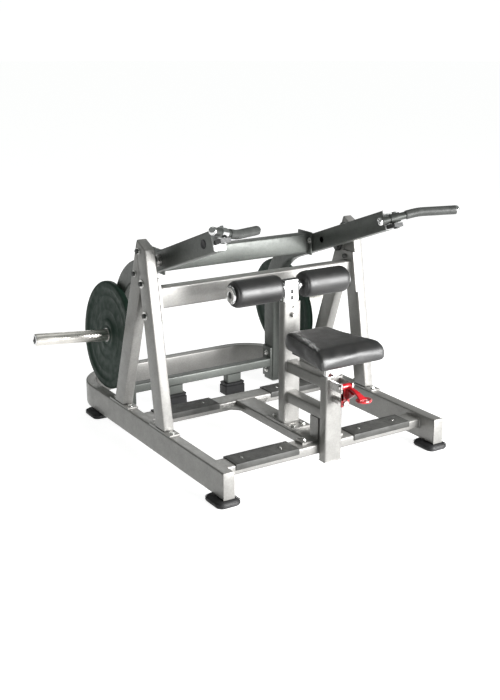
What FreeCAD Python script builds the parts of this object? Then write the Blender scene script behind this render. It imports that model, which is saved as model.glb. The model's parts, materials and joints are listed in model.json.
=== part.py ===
import FreeCAD, Part
import math
import os

# Plate-loaded press machine: a floor frame with two A-frames, a pivoting press arm with weight
# horns and handles, a seat on an adjustable post and a pair of thigh rollers.
# Millimetres.  X runs to the right, Y from the seat to the weights, Z up.  While the shapes are
# made, Y is counted from the front end of the base rails; save() moves them to the row's origin.
V = FreeCAD.Vector
CENTRE_Y = 590.0
WALL = 3.0

# Base frame
RAIL_IN, RAIL_OUT = 450.0, 495.0
RAIL_BOTTOM, RAIL_TOP = 25.0, 125.0
RAIL_CAP = 4.0
CORNER_RADIUS = 210.0
BASE_LENGTH = 1305.0
CORNER_Y = BASE_LENGTH - CORNER_RADIUS
CORNER_X = RAIL_OUT - CORNER_RADIUS
CROSS_BOTTOM, CROSS_TOP = 66.0, 104.0
FRONT_CROSS = (84.0, 166.0)
MID_CROSS = (650.0, 732.0)
CENTRE_TUBE_HALF = 44.0
GUSSET_LEG, GUSSET_BOTTOM, GUSSET_TOP = 70.0, 80.0, 88.0
FOOT_X, FOOT_LIP = (425.0, 520.0), 33.0
FRONT_FOOT = (-12.0, 100.0)
REAR_FOOT = (1005.0, 1117.0)
COVER_X, COVER_THICK, COVER_SKIRT = (125.0, 395.0), 4.0, 20.0
COVER_SCREW_X = (180.0, 345.0)

# A-frames, drawn in the Y-Z plane
LEG_IN, LEG_OUT = 451.5, 493.5
LEG_PLATE = 8.0
LEG_FOOT = RAIL_TOP + LEG_PLATE
FRONT_LEG_TOP = (546.5, 800.0)
LEG_APEX = (612.0, 829.0)
LEG_CROTCH = (596.5, 650.6)
FRONT_LEG_FOOT = (429.0, 505.0)
REAR_LEG_FOOT = (778.0, 857.5)
PLATE_TAB = 45.0
PLATE_BOLT_INSET = 23.0
CROSSBEAM_Y, CROSSBEAM_Z = (544.0, 594.0), (571.0, 651.0)
BEAM_FLANGE, BEAM_FLANGE_HALF, BEAM_FLANGE_Z = 8.0, 37.0, (530.0, 690.0)
BEAM_BOLTS = ((580.0, 667.0), (558.0, 550.0))
BEAM_WASHER, BEARING_WASHER, WASHER_THICK = 17.0, 12.0, 3.0
NUT_HEIGHT, THREAD_REACH = 8.0, 10.0

# Pivot
PIVOT = (617.0, 738.0)
SHAFT_RADIUS = 12.5
SHAFT_CLEARANCE = 0.05
BEARING_BOLTS = ((599.0, 787.0), (635.0, 696.0))
BEARING_FLANGE, BEARING_BOSS, BEARING_DEPTH = 12.0, 30.0, 30.0
BEARING_EAR = 17.0
SHAFT_COLLAR_RADIUS, SHAFT_COLLAR_GAP, SHAFT_END_GAP = 22.0, 1.0, 2.0

# Press arm
ARM_IN, ARM_OUT = 349.0, 399.0
ARM_HALF_DEPTH = 37.5
ARM_SLOPE = math.atan(0.352)
ARM_FRONT = V(0.0, -math.cos(ARM_SLOPE), math.sin(ARM_SLOPE))
ARM_UP = V(0.0, math.sin(ARM_SLOPE), math.cos(ARM_SLOPE))
ARM_REACH = 416.0
BEND_RADIUS = 262.5
ARM_LEG_Y = 1010.0
ARM_LEG_BOTTOM = 28.0
ARM_CAP = 4.0
ARM_CROSS_Y, ARM_CROSS_Z = (703.0, 753.0), (670.0, 750.0)
CROSS_FLANGE = 8.0
CROSS_FLANGE_Y, CROSS_FLANGE_Z = (680.0, 776.0), (663.0, 758.0)
CROSS_FLANGE_BOLTS = (691.5, 764.5)
STOP_BAR_Y, STOP_BAR_Z = (980.0, 1020.0), (92.0, 132.0)
STOP_FLANGE, STOP_FLANGE_Y, STOP_FLANGE_Z = 10.0, (978.0, 1042.0), (42.0, 182.0)
STOP_FLANGE_BOLTS = (71.5, 152.5)
STOP_X = 148.0
STUB_HALF, STUB_BOTTOM = 36.0, 55.0
STOP_HALF, STOP_Y = 50.0, (970.0, 1030.0)
CAVITY_OVERRUN = 5.0

# Weight horns and plates
HORN_RADIUS, HORN_WALL = 24.0, 4.0
HORN_TILT = math.radians(5.0)
HORN_ROOT_Z = 352.9
HORN_Y = 1020.0
HORN_LENGTH = 358.0
COLLAR_RADIUS, COLLAR_LENGTH = 27.4, 19.0
SEAT_SLEEVE_RADIUS, SEAT_SLEEVE_END = 24.8, 44.0
HORN_CAP, HORN_CAP_RADIUS = 4.0, 22.5
PLATE_RADIUS, PLATE_THICK, PLATE_BORE = 223.0, 26.0, 25.2
PLATE_START = 20.0
PLATE_RIM, PLATE_HUB, PLATE_DISH = 28.0, 62.0, 5.0
PLATE_SLOPE, PLATE_CHAMFER = 8.0, 4.0

# Handles, one at the front end of each arm
HUB_AHEAD = 36.0
LEFT_HUB_LIFT = 20.0
ARM_MID_X = 374.0
RIGHT_HANDLE_ANGLE, LEFT_HANDLE_ANGLE = math.radians(23.0), math.radians(-29.0)
HANDLE_RISE, HANDLE_FALL = math.radians(5.0), math.radians(6.0)
HANDLE_RADIUS, GRIP_RADIUS = 14.0, 17.0
HANDLE_TAIL, HANDLE_KNEE, HANDLE_TIP = 66.0, 91.0, 162.0
KNEE_RADIUS = 300.0
CLAMP_RADIUS, CLAMP_HALF = 18.0, 18.0
SWIVEL_RADIUS, SWIVEL_WASHER_RADIUS, SWIVEL_WASHER = 7.0, 11.0, (-4.5, -0.5)
CLAMP_HEAD_RADIUS, CLAMP_HEAD_HEIGHT = 8.0, 9.0
GRIP_START, GRIP_END_GAP = 42.0, 3.0
TUBE_END_WALL = 4.0
BLOCK_TOP, BLOCK_BOTTOM, BLOCK_HALF, BLOCK_REACH = -20.5, -36.0, 20.0, 52.0

# Seat frame
POST_HALF = 37.5
FRONT_POST_Y, FRONT_POST_Z = (44.0, 84.0), (46.0, 370.0)
REAR_POST_Y, REAR_POST_TOP = (315.0, 355.0), 588.0
UPPER_TUBE_Z, LOWER_TUBE_Z = (316.0, 360.0), (195.0, 238.0)
SEAT_TUBE_HALF = 25.0
FOOT_PLATE = 8.0
FOOT_PLATE_TOP = CROSS_TOP + FOOT_PLATE
FOOT_PLATE_REACH, FOOT_BOLT_REACH, FOOT_BOLT_X = 67.0, 43.0, 24.0
SUPPORT_Y, SUPPORT_HALF, SUPPORT_BOLT_X = (108.0, 158.0), 92.0, 70.0
POST_PLUG = 4.0
LOCATING_HOLE_Z, LOCATING_HOLE_RADIUS = 570.0, 5.0

# Rollers
SLIDE_PLAY = 1.5
ROLLER_TOP, ROLLER_POST_BOTTOM = 672.0, 330.0
ROLLER_Y, ROLLER_Z, ROLLER_RADIUS = 335.0, 645.0, 56.0
ROLLER_X, ROLLER_FILLET = (48.0, 255.0), 14.0
ROLLER_GAP = 1.0
ROLLER_CAP_RADIUS, ROLLER_CAP_LENGTH, ROLLER_WASHER_RADIUS = 34.0, 7.0, 20.0
AXLE_RADIUS, AXLE_STICKOUT = 12.5, 4.0
PIN_RADIUS, PIN_BITE = 6.0, 9.0
POP_PIN_Z = 540.0
POP_BARREL_RADIUS, POP_BARREL_LENGTH = 10.0, 8.0
POP_KNOB_RADIUS, POP_KNOB_LENGTH = 8.5, 6.0
ROLLER_LIFT = 120.0
SLOT_EASE = 1.0

# Seat
SEAT_TOP, SEAT_BOTTOM = 509.0, 436.0
SEAT_FRONT, SEAT_REAR = -75.0, 245.0
SEAT_FRONT_HALF, SEAT_REAR_HALF = 148.0, 95.0
SEAT_CORNER, SEAT_TOP_EDGE = 35.0, 20.0
SEAT_PLATE, SEAT_PLATE_HALF, SEAT_PLATE_Y = 8.0, 80.0, (-10.0, 200.0)
SEAT_POST_BOTTOM = 180.0
SEAT_TRAVEL = 80.0
LOCK_PIN_Z = 288.0
LOCK_BARREL_FRONT, LOCK_BARREL_RADIUS = 4.0, 14.0
LOCK_HEAD_RADIUS, LOCK_HEAD_LENGTH = 11.0, 6.0
LEVER_PIVOT = (-18.0, 352.0)
LEVER_BOLT_RADIUS, LEVER_NUT_RADIUS, LEVER_NUT_HEIGHT = 5.0, 9.0, 6.0
CHEEK_X, CHEEK_AHEAD, CHEEK_BELOW, CHEEK_ABOVE = (21.5, 27.0), 12.0, 20.0, 12.0
LEVER_HUB_HALF, LEVER_HUB_RADIUS = 21.0, 11.0
STRAP_HALF, STRAP_THICK, STRAP_BELOW_PIN = 18.0, 3.0, 12.0
NOTCH_HALF, NOTCH_ABOVE_PIN = 7.5, 9.0
STEM_X, STEM_INTO_PADDLE = (-4.0, 20.0), 14.0
PADDLE_X, PADDLE_Y, PADDLE_Z = 20.0, -95.0, 319.0
PADDLE_LENGTH, PADDLE_WIDTH, PADDLE_THICK = 60.0, 56.0, 10.0

# Bolts
BOLT_RADIUS, HEAD_RADIUS, HEAD_HEIGHT = 6.0, 10.0, 8.0
SCREW_RADIUS, SCREW_HEAD, SCREW_HEAD_HEIGHT = 3.0, 6.0, 3.0


def box(x, y, z):
    corner = V(x[0], y[0], z[0])
    return Part.makeBox(x[1] - x[0], y[1] - y[0], z[1] - z[0], corner)


def inset(span, wall):
    return (span[0] + wall, span[1] - wall)


def outset(span, amount):
    return (span[0] - amount, span[1] + amount)


def tube_along_x(x, y, z, wall=WALL):
    return box(x, y, z).cut(box(outset(x, 1.0), inset(y, wall), inset(z, wall)))


def tube_along_y(x, y, z, wall=WALL):
    return box(x, y, z).cut(box(inset(x, wall), outset(y, 1.0), inset(z, wall)))


def tube_along_z(x, y, z, wall=WALL):
    return box(x, y, z).cut(box(inset(x, wall), inset(y, wall), outset(z, 1.0)))


def rod(start, end, radius):
    return Part.makeCylinder(radius, (end - start).Length, start, end - start)


def pipe(start, end, outer, inner):
    return rod(start, end, outer).cut(rod(start, end, inner))


def side_profile(points, x):
    corners = [V(x[0], y, z) for y, z in points]
    corners.append(corners[0])
    face = Part.Face(Part.makePolygon(corners))
    return face.extrude(V(x[1] - x[0], 0, 0))


def flat_profile(points, z):
    corners = [V(x, y, z[0]) for x, y in points]
    corners.append(corners[0])
    face = Part.Face(Part.makePolygon(corners))
    return face.extrude(V(0, 0, z[1] - z[0]))


def hexagon(centre, axis, radius, height):
    # A hexagonal bolt head or nut standing on centre along axis.
    corners = []
    for i in range(7):
        angle = math.radians(60 * i)
        corners.append(V(radius * math.cos(angle), radius * math.sin(angle), 0))
    head = Part.Face(Part.makePolygon(corners)).extrude(V(0, 0, height))
    head.Placement = FreeCAD.Placement(centre, FreeCAD.Rotation(V(0, 0, 1), axis))
    return head


def bolt(seat, axis, grip):
    # A hexagon bolt with its head on seat; the shank runs back along axis for grip.
    shank = rod(seat - axis * grip, seat, BOLT_RADIUS)
    return hexagon(seat, axis, HEAD_RADIUS, HEAD_HEIGHT).fuse(shank).removeSplitter()


def mirrored(shape):
    return shape.mirror(V(0, 0, 0), V(1, 0, 0))


def both_sides(shapes):
    return list(shapes) + [mirrored(shape) for shape in shapes]


def save(name, shapes):
    if isinstance(shapes, list):
        shape = Part.makeCompound(shapes)
    else:
        shape = shapes
    moved = shape.translated(V(0, -CENTRE_Y, 0))
    moved.exportStep("parts/" + name + ".step")
    print(name, len(moved.Solids), moved.isValid(), round(moved.Volume / 1000.0, 1))


def save_pair(name, right):
    save("right_" + name, right)
    save("left_" + name, mirrored(right))


# ---- Base frame ----

def corner_bend():
    section = Part.Face(Part.makePolygon([
        V(RAIL_IN, CORNER_Y, RAIL_BOTTOM), V(RAIL_OUT, CORNER_Y, RAIL_BOTTOM),
        V(RAIL_OUT, CORNER_Y, RAIL_TOP), V(RAIL_IN, CORNER_Y, RAIL_TOP),
        V(RAIL_IN, CORNER_Y, RAIL_BOTTOM)]))
    hollow = Part.Face(Part.makePolygon([
        V(RAIL_IN + WALL, CORNER_Y, RAIL_BOTTOM + WALL),
        V(RAIL_OUT - WALL, CORNER_Y, RAIL_BOTTOM + WALL),
        V(RAIL_OUT - WALL, CORNER_Y, RAIL_TOP - WALL),
        V(RAIL_IN + WALL, CORNER_Y, RAIL_TOP - WALL),
        V(RAIL_IN + WALL, CORNER_Y, RAIL_BOTTOM + WALL)]))
    centre = V(CORNER_X, CORNER_Y, 0)
    outer = section.revolve(centre, V(0, 0, 1), 90)
    inner = hollow.revolve(centre, V(0, 0, 1), 90)
    return outer.cut(inner)


def plate_bolt_places():
    # (x, y) of the bolts that hold the leg plates down on a rail.
    x = (RAIL_IN + RAIL_OUT) / 2
    places = []
    for foot in (FRONT_LEG_FOOT, REAR_LEG_FOOT):
        places.append((x, foot[0] - PLATE_BOLT_INSET))
        places.append((x, foot[1] + PLATE_BOLT_INSET))
    return places


def drilled_down(shape, places, top, depth, radius):
    for x, y in places:
        shape = shape.cut(rod(V(x, y, top - depth), V(x, y, top), radius))
    return shape


def base_rail():
    rail = tube_along_y((RAIL_IN, RAIL_OUT), (RAIL_CAP, CORNER_Y), (RAIL_BOTTOM, RAIL_TOP))
    return drilled_down(rail, plate_bolt_places(), RAIL_TOP, 2 * WALL, BOLT_RADIUS)


def rear_base_tube():
    y = (BASE_LENGTH - (RAIL_OUT - RAIL_IN), BASE_LENGTH)
    return tube_along_x((-CORNER_X, CORNER_X), y, (RAIL_BOTTOM, RAIL_TOP))


def cover_screw_places(cross):
    middle = (cross[0] + cross[1]) / 2
    return [(x * side, middle) for x in COVER_SCREW_X for side in (1, -1)]


def cross_tube(span, bolts=()):
    tube = tube_along_x((-RAIL_IN, RAIL_IN), span, (CROSS_BOTTOM, CROSS_TOP))
    tube = drilled_down(tube, cover_screw_places(span), CROSS_TOP, 2 * WALL, SCREW_RADIUS)
    return drilled_down(tube, bolts, CROSS_TOP, 2 * WALL, BOLT_RADIUS)


def centre_base_tube():
    x = (-CENTRE_TUBE_HALF, CENTRE_TUBE_HALF)
    tube = tube_along_y(x, (FRONT_CROSS[1], MID_CROSS[0]), (CROSS_BOTTOM, CROSS_TOP))
    return drilled_down(tube, rear_foot_bolts(), CROSS_TOP, 2 * WALL, BOLT_RADIUS)


def centre_gussets():
    corner = (CENTRE_TUBE_HALF, MID_CROSS[0])
    points = [corner, (corner[0] + GUSSET_LEG, corner[1]), (corner[0], corner[1] - GUSSET_LEG)]
    return both_sides([flat_profile(points, (GUSSET_BOTTOM, GUSSET_TOP))])


def rubber_foot(span):
    foot = box(FOOT_X, span, (0.0, FOOT_LIP))
    upright = [edge for edge in foot.Edges if abs(edge.tangentAt(edge.FirstParameter).z) > 0.9]
    foot = foot.makeFillet(18.0, upright)
    rail = box((RAIL_IN, RAIL_OUT), (0.0, CORNER_Y), (RAIL_BOTTOM, RAIL_TOP))
    centre = V(CORNER_X, CORNER_Y, RAIL_BOTTOM)
    bend = Part.makeCylinder(CORNER_RADIUS, RAIL_TOP, centre)
    bend = bend.cut(Part.makeCylinder(CORNER_RADIUS - (RAIL_OUT - RAIL_IN), RAIL_TOP, centre))
    return foot.cut(rail).cut(bend)


def rail_end_cap():
    return box((RAIL_IN, RAIL_OUT), (0.0, RAIL_CAP), (RAIL_BOTTOM, RAIL_TOP))


def foot_cover(cross):
    outer_y = outset(cross, COVER_THICK)
    cover = box(COVER_X, outer_y, (CROSS_TOP - COVER_SKIRT, CROSS_TOP + COVER_THICK))
    cover = cover.cut(box(outset(COVER_X, 1.0), cross, (CROSS_BOTTOM, CROSS_TOP)))
    places = cover_screw_places(cross)
    return drilled_down(cover, places, CROSS_TOP + COVER_THICK, 2 * COVER_THICK, SCREW_RADIUS)


def cover_screw(x, y):
    top = CROSS_TOP + COVER_THICK
    shank = rod(V(x, y, top - COVER_THICK - 2 * WALL), V(x, y, top), SCREW_RADIUS)
    head = rod(V(x, y, top), V(x, y, top + SCREW_HEAD_HEIGHT), SCREW_HEAD)
    return shank.fuse(head).removeSplitter()


def make_base():
    save_pair("base_rail", base_rail())
    save("corner_bends", both_sides([corner_bend()]))
    save("rear_base_tube", rear_base_tube())
    save("front_cross_tube", cross_tube(FRONT_CROSS, support_bolts()))
    save("mid_cross_tube", cross_tube(MID_CROSS))
    save("centre_base_tube", centre_base_tube())
    save("centre_gussets", centre_gussets())
    save("rubber_feet", both_sides([rubber_foot(FRONT_FOOT), rubber_foot(REAR_FOOT)]))
    save("tube_plugs", both_sides([rail_end_cap()]) + [post_plug()])
    save("foot_covers", both_sides([foot_cover(FRONT_CROSS), foot_cover(MID_CROSS)]))
    places = cover_screw_places(FRONT_CROSS) + cover_screw_places(MID_CROSS)
    save("cover_screws", [cover_screw(x, y) for x, y in places])


# ---- A-frames and crossbeam ----

def along(start, end, z):
    # Y of the line from start to end at height z.
    share = (z - start[1]) / (end[1] - start[1])
    return start[0] + share * (end[0] - start[0])


def front_leg_points(bottom):
    front = along((FRONT_LEG_FOOT[0], LEG_FOOT), FRONT_LEG_TOP, bottom)
    back = along((FRONT_LEG_FOOT[1], LEG_FOOT), LEG_CROTCH, bottom)
    return [(front, bottom), FRONT_LEG_TOP, LEG_APEX, LEG_CROTCH, (back, bottom)]


def rear_leg_points(bottom):
    front = along((REAR_LEG_FOOT[0], LEG_FOOT), LEG_CROTCH, bottom)
    back = along((REAR_LEG_FOOT[1], LEG_FOOT), LEG_APEX, bottom)
    return [LEG_CROTCH, LEG_APEX, (back, bottom), (front, bottom)]


def hollow_leg(outline):
    # The cavity is the outline drawn lower and set in by the wall, so it is open at the foot.
    shape = side_profile(outline(LEG_FOOT), (LEG_IN, LEG_OUT))
    corners = [V(LEG_IN + WALL, y, z) for y, z in outline(LEG_FOOT - 4 * WALL)]
    corners.append(corners[0])
    face = Part.Face(Part.makePolygon(corners).makeOffset2D(-WALL))
    cavity = face.extrude(V(LEG_OUT - LEG_IN - 2 * WALL, 0, 0))
    return shape.cut(cavity)


def through_holes(shape, places, radius):
    for y, z in places:
        shape = shape.cut(rod(V(LEG_IN - 60.0, y, z), V(LEG_OUT + 60.0, y, z), radius))
    return shape


def leg_base_plate(foot):
    y = (foot[0] - PLATE_TAB, foot[1] + PLATE_TAB)
    plate = box((RAIL_IN, RAIL_OUT), y, (RAIL_TOP, LEG_FOOT))
    return drilled_down(plate, plate_bolt_places(), LEG_FOOT, LEG_PLATE, BOLT_RADIUS)


def beam_flange():
    points = []
    for z in BEAM_FLANGE_Z:
        middle = along((FRONT_LEG_FOOT[0], LEG_FOOT), FRONT_LEG_TOP, z) + BEAM_FLANGE_HALF
        points.append((middle - BEAM_FLANGE_HALF, z))
        points.append((middle + BEAM_FLANGE_HALF, z))
    outline = [points[0], points[1], points[3], points[2]]
    flange = side_profile(outline, (LEG_IN - BEAM_FLANGE, LEG_IN))
    return through_holes(flange, BEAM_BOLTS, BOLT_RADIUS)


def crossbeam():
    reach = LEG_IN - BEAM_FLANGE
    return tube_along_x((-reach, reach), CROSSBEAM_Y, CROSSBEAM_Z)


def leg_bolt(place, inner, washer):
    # A bolt through the leg with its head and washer outside and its nut at inner.
    seat = V(LEG_OUT + WASHER_THICK, place[0], place[1])
    shape = bolt(seat, V(1, 0, 0), seat.x - inner + THREAD_REACH)
    shape = shape.fuse(rod(V(LEG_OUT, place[0], place[1]), seat, washer))
    nut_place = V(inner - NUT_HEIGHT, place[0], place[1])
    nut = hexagon(nut_place, V(1, 0, 0), HEAD_RADIUS, NUT_HEIGHT)
    return shape.fuse(nut).removeSplitter()


def pivot_bearing():
    # A two-bolt flange unit: an oval flange against the leg and a round boss towards the arm.
    back = LEG_IN
    face = LEG_IN - BEARING_FLANGE
    centre = V(face, PIVOT[0], PIVOT[1])
    ears = []
    for y, z in BEARING_BOLTS:
        ears.append(rod(V(face, y, z), V(back, y, z), BEARING_EAR))
    first, second = [V(face, y, z) for y, z in BEARING_BOLTS]
    run = (second - first).normalize()
    side = V(0, -run.z, run.y) * BEARING_EAR
    bridge = Part.Face(Part.makePolygon([
        first + side, second + side, second - side, first - side, first + side]))
    flange = bridge.extrude(V(BEARING_FLANGE, 0, 0))
    flange = flange.fuse(ears[0]).fuse(ears[1])
    boss = rod(V(LEG_IN - BEARING_DEPTH, PIVOT[0], PIVOT[1]), V(back, PIVOT[0], PIVOT[1]),
               BEARING_BOSS)
    unit = flange.fuse(boss).removeSplitter()
    unit = unit.cut(rod(centre - V(60, 0, 0), centre + V(60, 0, 0),
                        SHAFT_RADIUS + SHAFT_CLEARANCE))
    return through_holes(unit, BEARING_BOLTS, BOLT_RADIUS)


def make_a_frames():
    front = through_holes(hollow_leg(front_leg_points), BEAM_BOLTS + BEARING_BOLTS, BOLT_RADIUS)
    rear = through_holes(hollow_leg(rear_leg_points), BEARING_BOLTS, BOLT_RADIUS)
    save_pair("front_leg", front)
    save_pair("rear_leg", rear)
    plates = [leg_base_plate(FRONT_LEG_FOOT), leg_base_plate(REAR_LEG_FOOT)]
    save("leg_base_plates", both_sides(plates))
    save("crossbeam", crossbeam())
    save("crossbeam_end_plates", both_sides([beam_flange()]))
    beam_bolts = [leg_bolt(place, LEG_IN - BEAM_FLANGE, BEAM_WASHER) for place in BEAM_BOLTS]
    save("pivot_bearings", both_sides([pivot_bearing()]))
    inner = LEG_IN - BEARING_FLANGE
    bolts = [leg_bolt(place, inner, BEARING_WASHER) for place in BEARING_BOLTS]
    save("leg_bolts", both_sides(beam_bolts + bolts))


# ---- Seat frame ----

def rear_foot_bolts():
    y = outset(REAR_POST_Y, FOOT_BOLT_REACH)
    return [(x, place) for place in y for x in (-FOOT_BOLT_X, FOOT_BOLT_X)]


def support_bolts():
    middle = (SUPPORT_Y[0] + SUPPORT_Y[1]) / 2
    return [(-SUPPORT_BOLT_X, middle), (SUPPORT_BOLT_X, middle)]


def foot_plates():
    # The rear post's foot plate on the centre tube, and the front support with its own plate.
    z = (CROSS_TOP, FOOT_PLATE_TOP)
    rear_y = outset(REAR_POST_Y, FOOT_PLATE_REACH)
    rear = box((-CENTRE_TUBE_HALF, CENTRE_TUBE_HALF), rear_y, z)
    rear = drilled_down(rear, rear_foot_bolts(), FOOT_PLATE_TOP, FOOT_PLATE, BOLT_RADIUS)
    front = box((-SUPPORT_HALF, SUPPORT_HALF), SUPPORT_Y, z)
    front = drilled_down(front, support_bolts(), FOOT_PLATE_TOP, FOOT_PLATE, BOLT_RADIUS)
    x = (-SEAT_TUBE_HALF, SEAT_TUBE_HALF)
    upright = tube_along_z(x, SUPPORT_Y, (FOOT_PLATE_TOP, LOWER_TUBE_Z[0]))
    return [rear, front, upright]


def front_seat_post():
    x = (-POST_HALF, POST_HALF)
    post = tube_along_z(x, FRONT_POST_Y, FRONT_POST_Z)
    return post.cut(front_hole(FRONT_POST_Y[0], LOCK_PIN_Z, PIN_RADIUS + SHAFT_CLEARANCE))


def front_hole(face, z, radius):
    # The cutter of a hole through a post's front wall.
    return rod(V(0, face - 1, z), V(0, face + WALL + 1, z), radius)


def post_plug():
    z = (FRONT_POST_Z[0] - POST_PLUG, FRONT_POST_Z[0])
    return box((-POST_HALF, POST_HALF), FRONT_POST_Y, z)


def rear_seat_post():
    x = (-POST_HALF, POST_HALF)
    post = tube_along_z(x, REAR_POST_Y, (FOOT_PLATE_TOP, REAR_POST_TOP))
    front = REAR_POST_Y[0]
    pin_hole = front_hole(front, POP_PIN_Z, PIN_RADIUS + SHAFT_CLEARANCE)
    return post.cut(pin_hole).cut(front_hole(front, LOCATING_HOLE_Z, LOCATING_HOLE_RADIUS))


def seat_tube(z):
    x = (-SEAT_TUBE_HALF, SEAT_TUBE_HALF)
    return tube_along_y(x, (FRONT_POST_Y[1], REAR_POST_Y[0]), z)


def lever_bracket():
    # Two cheeks that carry the lever's pivot bolt, and the guide barrel of the lock pin.
    face = FRONT_POST_Y[0]
    y, z = LEVER_PIVOT
    shank = rod(V(-CHEEK_X[1], y, z), V(CHEEK_X[1], y, z), LEVER_BOLT_RADIUS)
    cheek = box(CHEEK_X, (y - CHEEK_AHEAD, face), (z - CHEEK_BELOW, z + CHEEK_ABOVE)).cut(shank)
    nut = hexagon(V(CHEEK_X[1], y, z), V(1, 0, 0), LEVER_NUT_RADIUS, LEVER_NUT_HEIGHT)
    pivot = shank.fuse(nut).fuse(mirrored(nut)).removeSplitter()
    barrel = pipe(V(0, LOCK_BARREL_FRONT, LOCK_PIN_Z), V(0, face, LOCK_PIN_Z),
                  LOCK_BARREL_RADIUS, PIN_RADIUS + SHAFT_CLEARANCE)
    return both_sides([cheek]) + [pivot, barrel]


def pop_pin_barrel():
    face = REAR_POST_Y[0]
    start = V(0, face - POP_BARREL_LENGTH, POP_PIN_Z)
    return pipe(start, V(0, face, POP_PIN_Z), POP_BARREL_RADIUS, PIN_RADIUS + SHAFT_CLEARANCE)


def make_seat_frame():
    save("front_seat_post", front_seat_post())
    save("rear_seat_post", rear_seat_post())
    save("upper_seat_tube", seat_tube(UPPER_TUBE_Z))
    save("lower_seat_tube", seat_tube(LOWER_TUBE_Z))
    save("seat_frame_feet", foot_plates())
    save("pin_guides", lever_bracket() + [pop_pin_barrel()])
    bolts = []
    for x, y in plate_bolt_places():
        bolts.append(bolt(V(x, y, LEG_FOOT), V(0, 0, 1), LEG_PLATE + 2 * WALL))
    bolts = both_sides(bolts)
    for x, y in rear_foot_bolts() + support_bolts():
        bolts.append(bolt(V(x, y, FOOT_PLATE_TOP), V(0, 0, 1), FOOT_PLATE + 2 * WALL))
    save("base_bolts", bolts)


# ---- Press arm ----

def arm_point(ahead, up=0.0):
    # A point on the arm's centreline, ahead of the pivot and up across the arm.
    return V(0, PIVOT[0], PIVOT[1]) + ARM_FRONT * ahead + ARM_UP * up


def bend_centre():
    # The bend's centre lies below the straight arm and in front of the rear leg.
    y = ARM_LEG_Y - BEND_RADIUS
    drop = BEND_RADIUS / math.cos(ARM_SLOPE)
    return V(0, y, PIVOT[1] - math.tan(ARM_SLOPE) * (y - PIVOT[0]) - drop)


def arm_outline(inset_by, overrun):
    half = ARM_HALF_DEPTH - inset_by
    centre = bend_centre()
    outer, inner = BEND_RADIUS + half, BEND_RADIUS - half
    middle = (ARM_UP + V(0, 1, 0)).normalize()
    bottom = ARM_LEG_BOTTOM - overrun
    front_top = arm_point(ARM_REACH + overrun, half)
    front_bottom = arm_point(ARM_REACH + overrun, -half)
    back_outer = centre + V(0, outer, 0)
    back_inner = centre + V(0, inner, 0)
    edges = [
        Part.LineSegment(front_bottom, front_top).toShape(),
        Part.LineSegment(front_top, centre + ARM_UP * outer).toShape(),
        Part.Arc(centre + ARM_UP * outer, centre + middle * outer, back_outer).toShape(),
        Part.LineSegment(back_outer, V(0, back_outer.y, bottom)).toShape(),
        Part.LineSegment(V(0, back_outer.y, bottom), V(0, back_inner.y, bottom)).toShape(),
        Part.LineSegment(V(0, back_inner.y, bottom), back_inner).toShape(),
        Part.Arc(back_inner, centre + middle * inner, centre + ARM_UP * inner).toShape(),
        Part.LineSegment(centre + ARM_UP * inner, front_bottom).toShape()]
    return Part.Face(Part.Wire(edges))


def press_arm():
    outer = arm_outline(0.0, 0.0).extrude(V(ARM_OUT - ARM_IN, 0, 0))
    inner = arm_outline(WALL, CAVITY_OVERRUN).extrude(V(ARM_OUT - ARM_IN - 2 * WALL, 0, 0))
    arm = outer.cut(inner.translated(V(WALL, 0, 0))).translated(V(ARM_IN, 0, 0))
    arm = arm.cut(rod(V(ARM_IN - 1, *PIVOT), V(ARM_OUT + 1, *PIVOT), SHAFT_RADIUS))
    for y, z in arm_bolt_places():
        arm = arm.cut(rod(V(ARM_IN - 1, y, z), V(ARM_IN + WALL + 1, y, z), BOLT_RADIUS))
    return arm


def arm_bolt_places():
    middle = (CROSS_FLANGE_Z[0] + CROSS_FLANGE_Z[1]) / 2
    mid_y = (CROSS_FLANGE_Y[0] + CROSS_FLANGE_Y[1]) / 2
    places = [(y, middle - math.tan(ARM_SLOPE) * (y - mid_y)) for y in CROSS_FLANGE_BOLTS]
    places += [(ARM_LEG_Y, z) for z in STOP_FLANGE_BOLTS]
    return places


def arm_bolt(place):
    grip = CROSS_FLANGE
    if place[0] == ARM_LEG_Y:
        grip = STOP_FLANGE
    return bolt(V(ARM_IN - grip, *place), V(-1, 0, 0), grip + 2 * WALL)


def arm_flange(thickness, y, z):
    flange = box((ARM_IN - thickness, ARM_IN), y, z)
    for place in arm_bolt_places():
        flange = flange.cut(rod(V(ARM_IN - thickness, *place), V(ARM_IN, *place), BOLT_RADIUS))
    return flange


def arm_end_cap():
    half = (ARM_OUT - ARM_IN) / 2
    cap = box((-half, half), (-ARM_HALF_DEPTH, ARM_HALF_DEPTH), (0.0, ARM_CAP))
    turn = FreeCAD.Rotation(V(1, 0, 0), ARM_UP, ARM_FRONT, "ZXY")
    cap.Placement = FreeCAD.Placement(arm_point(ARM_REACH) + V(ARM_MID_X, 0, 0), turn)
    return cap


def arm_foot_cap():
    y = (ARM_LEG_Y - ARM_HALF_DEPTH, ARM_LEG_Y + ARM_HALF_DEPTH)
    return box((ARM_IN, ARM_OUT), y, (ARM_LEG_BOTTOM - ARM_CAP, ARM_LEG_BOTTOM))


def pivot_shaft():
    shaft = rod(V(ARM_IN, *PIVOT), V(LEG_IN - SHAFT_END_GAP, *PIVOT), SHAFT_RADIUS)
    collar_end = LEG_IN - BEARING_DEPTH - SHAFT_COLLAR_GAP
    collar = rod(V(ARM_OUT, *PIVOT), V(collar_end, *PIVOT), SHAFT_COLLAR_RADIUS)
    return shaft.fuse(collar).removeSplitter()


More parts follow.
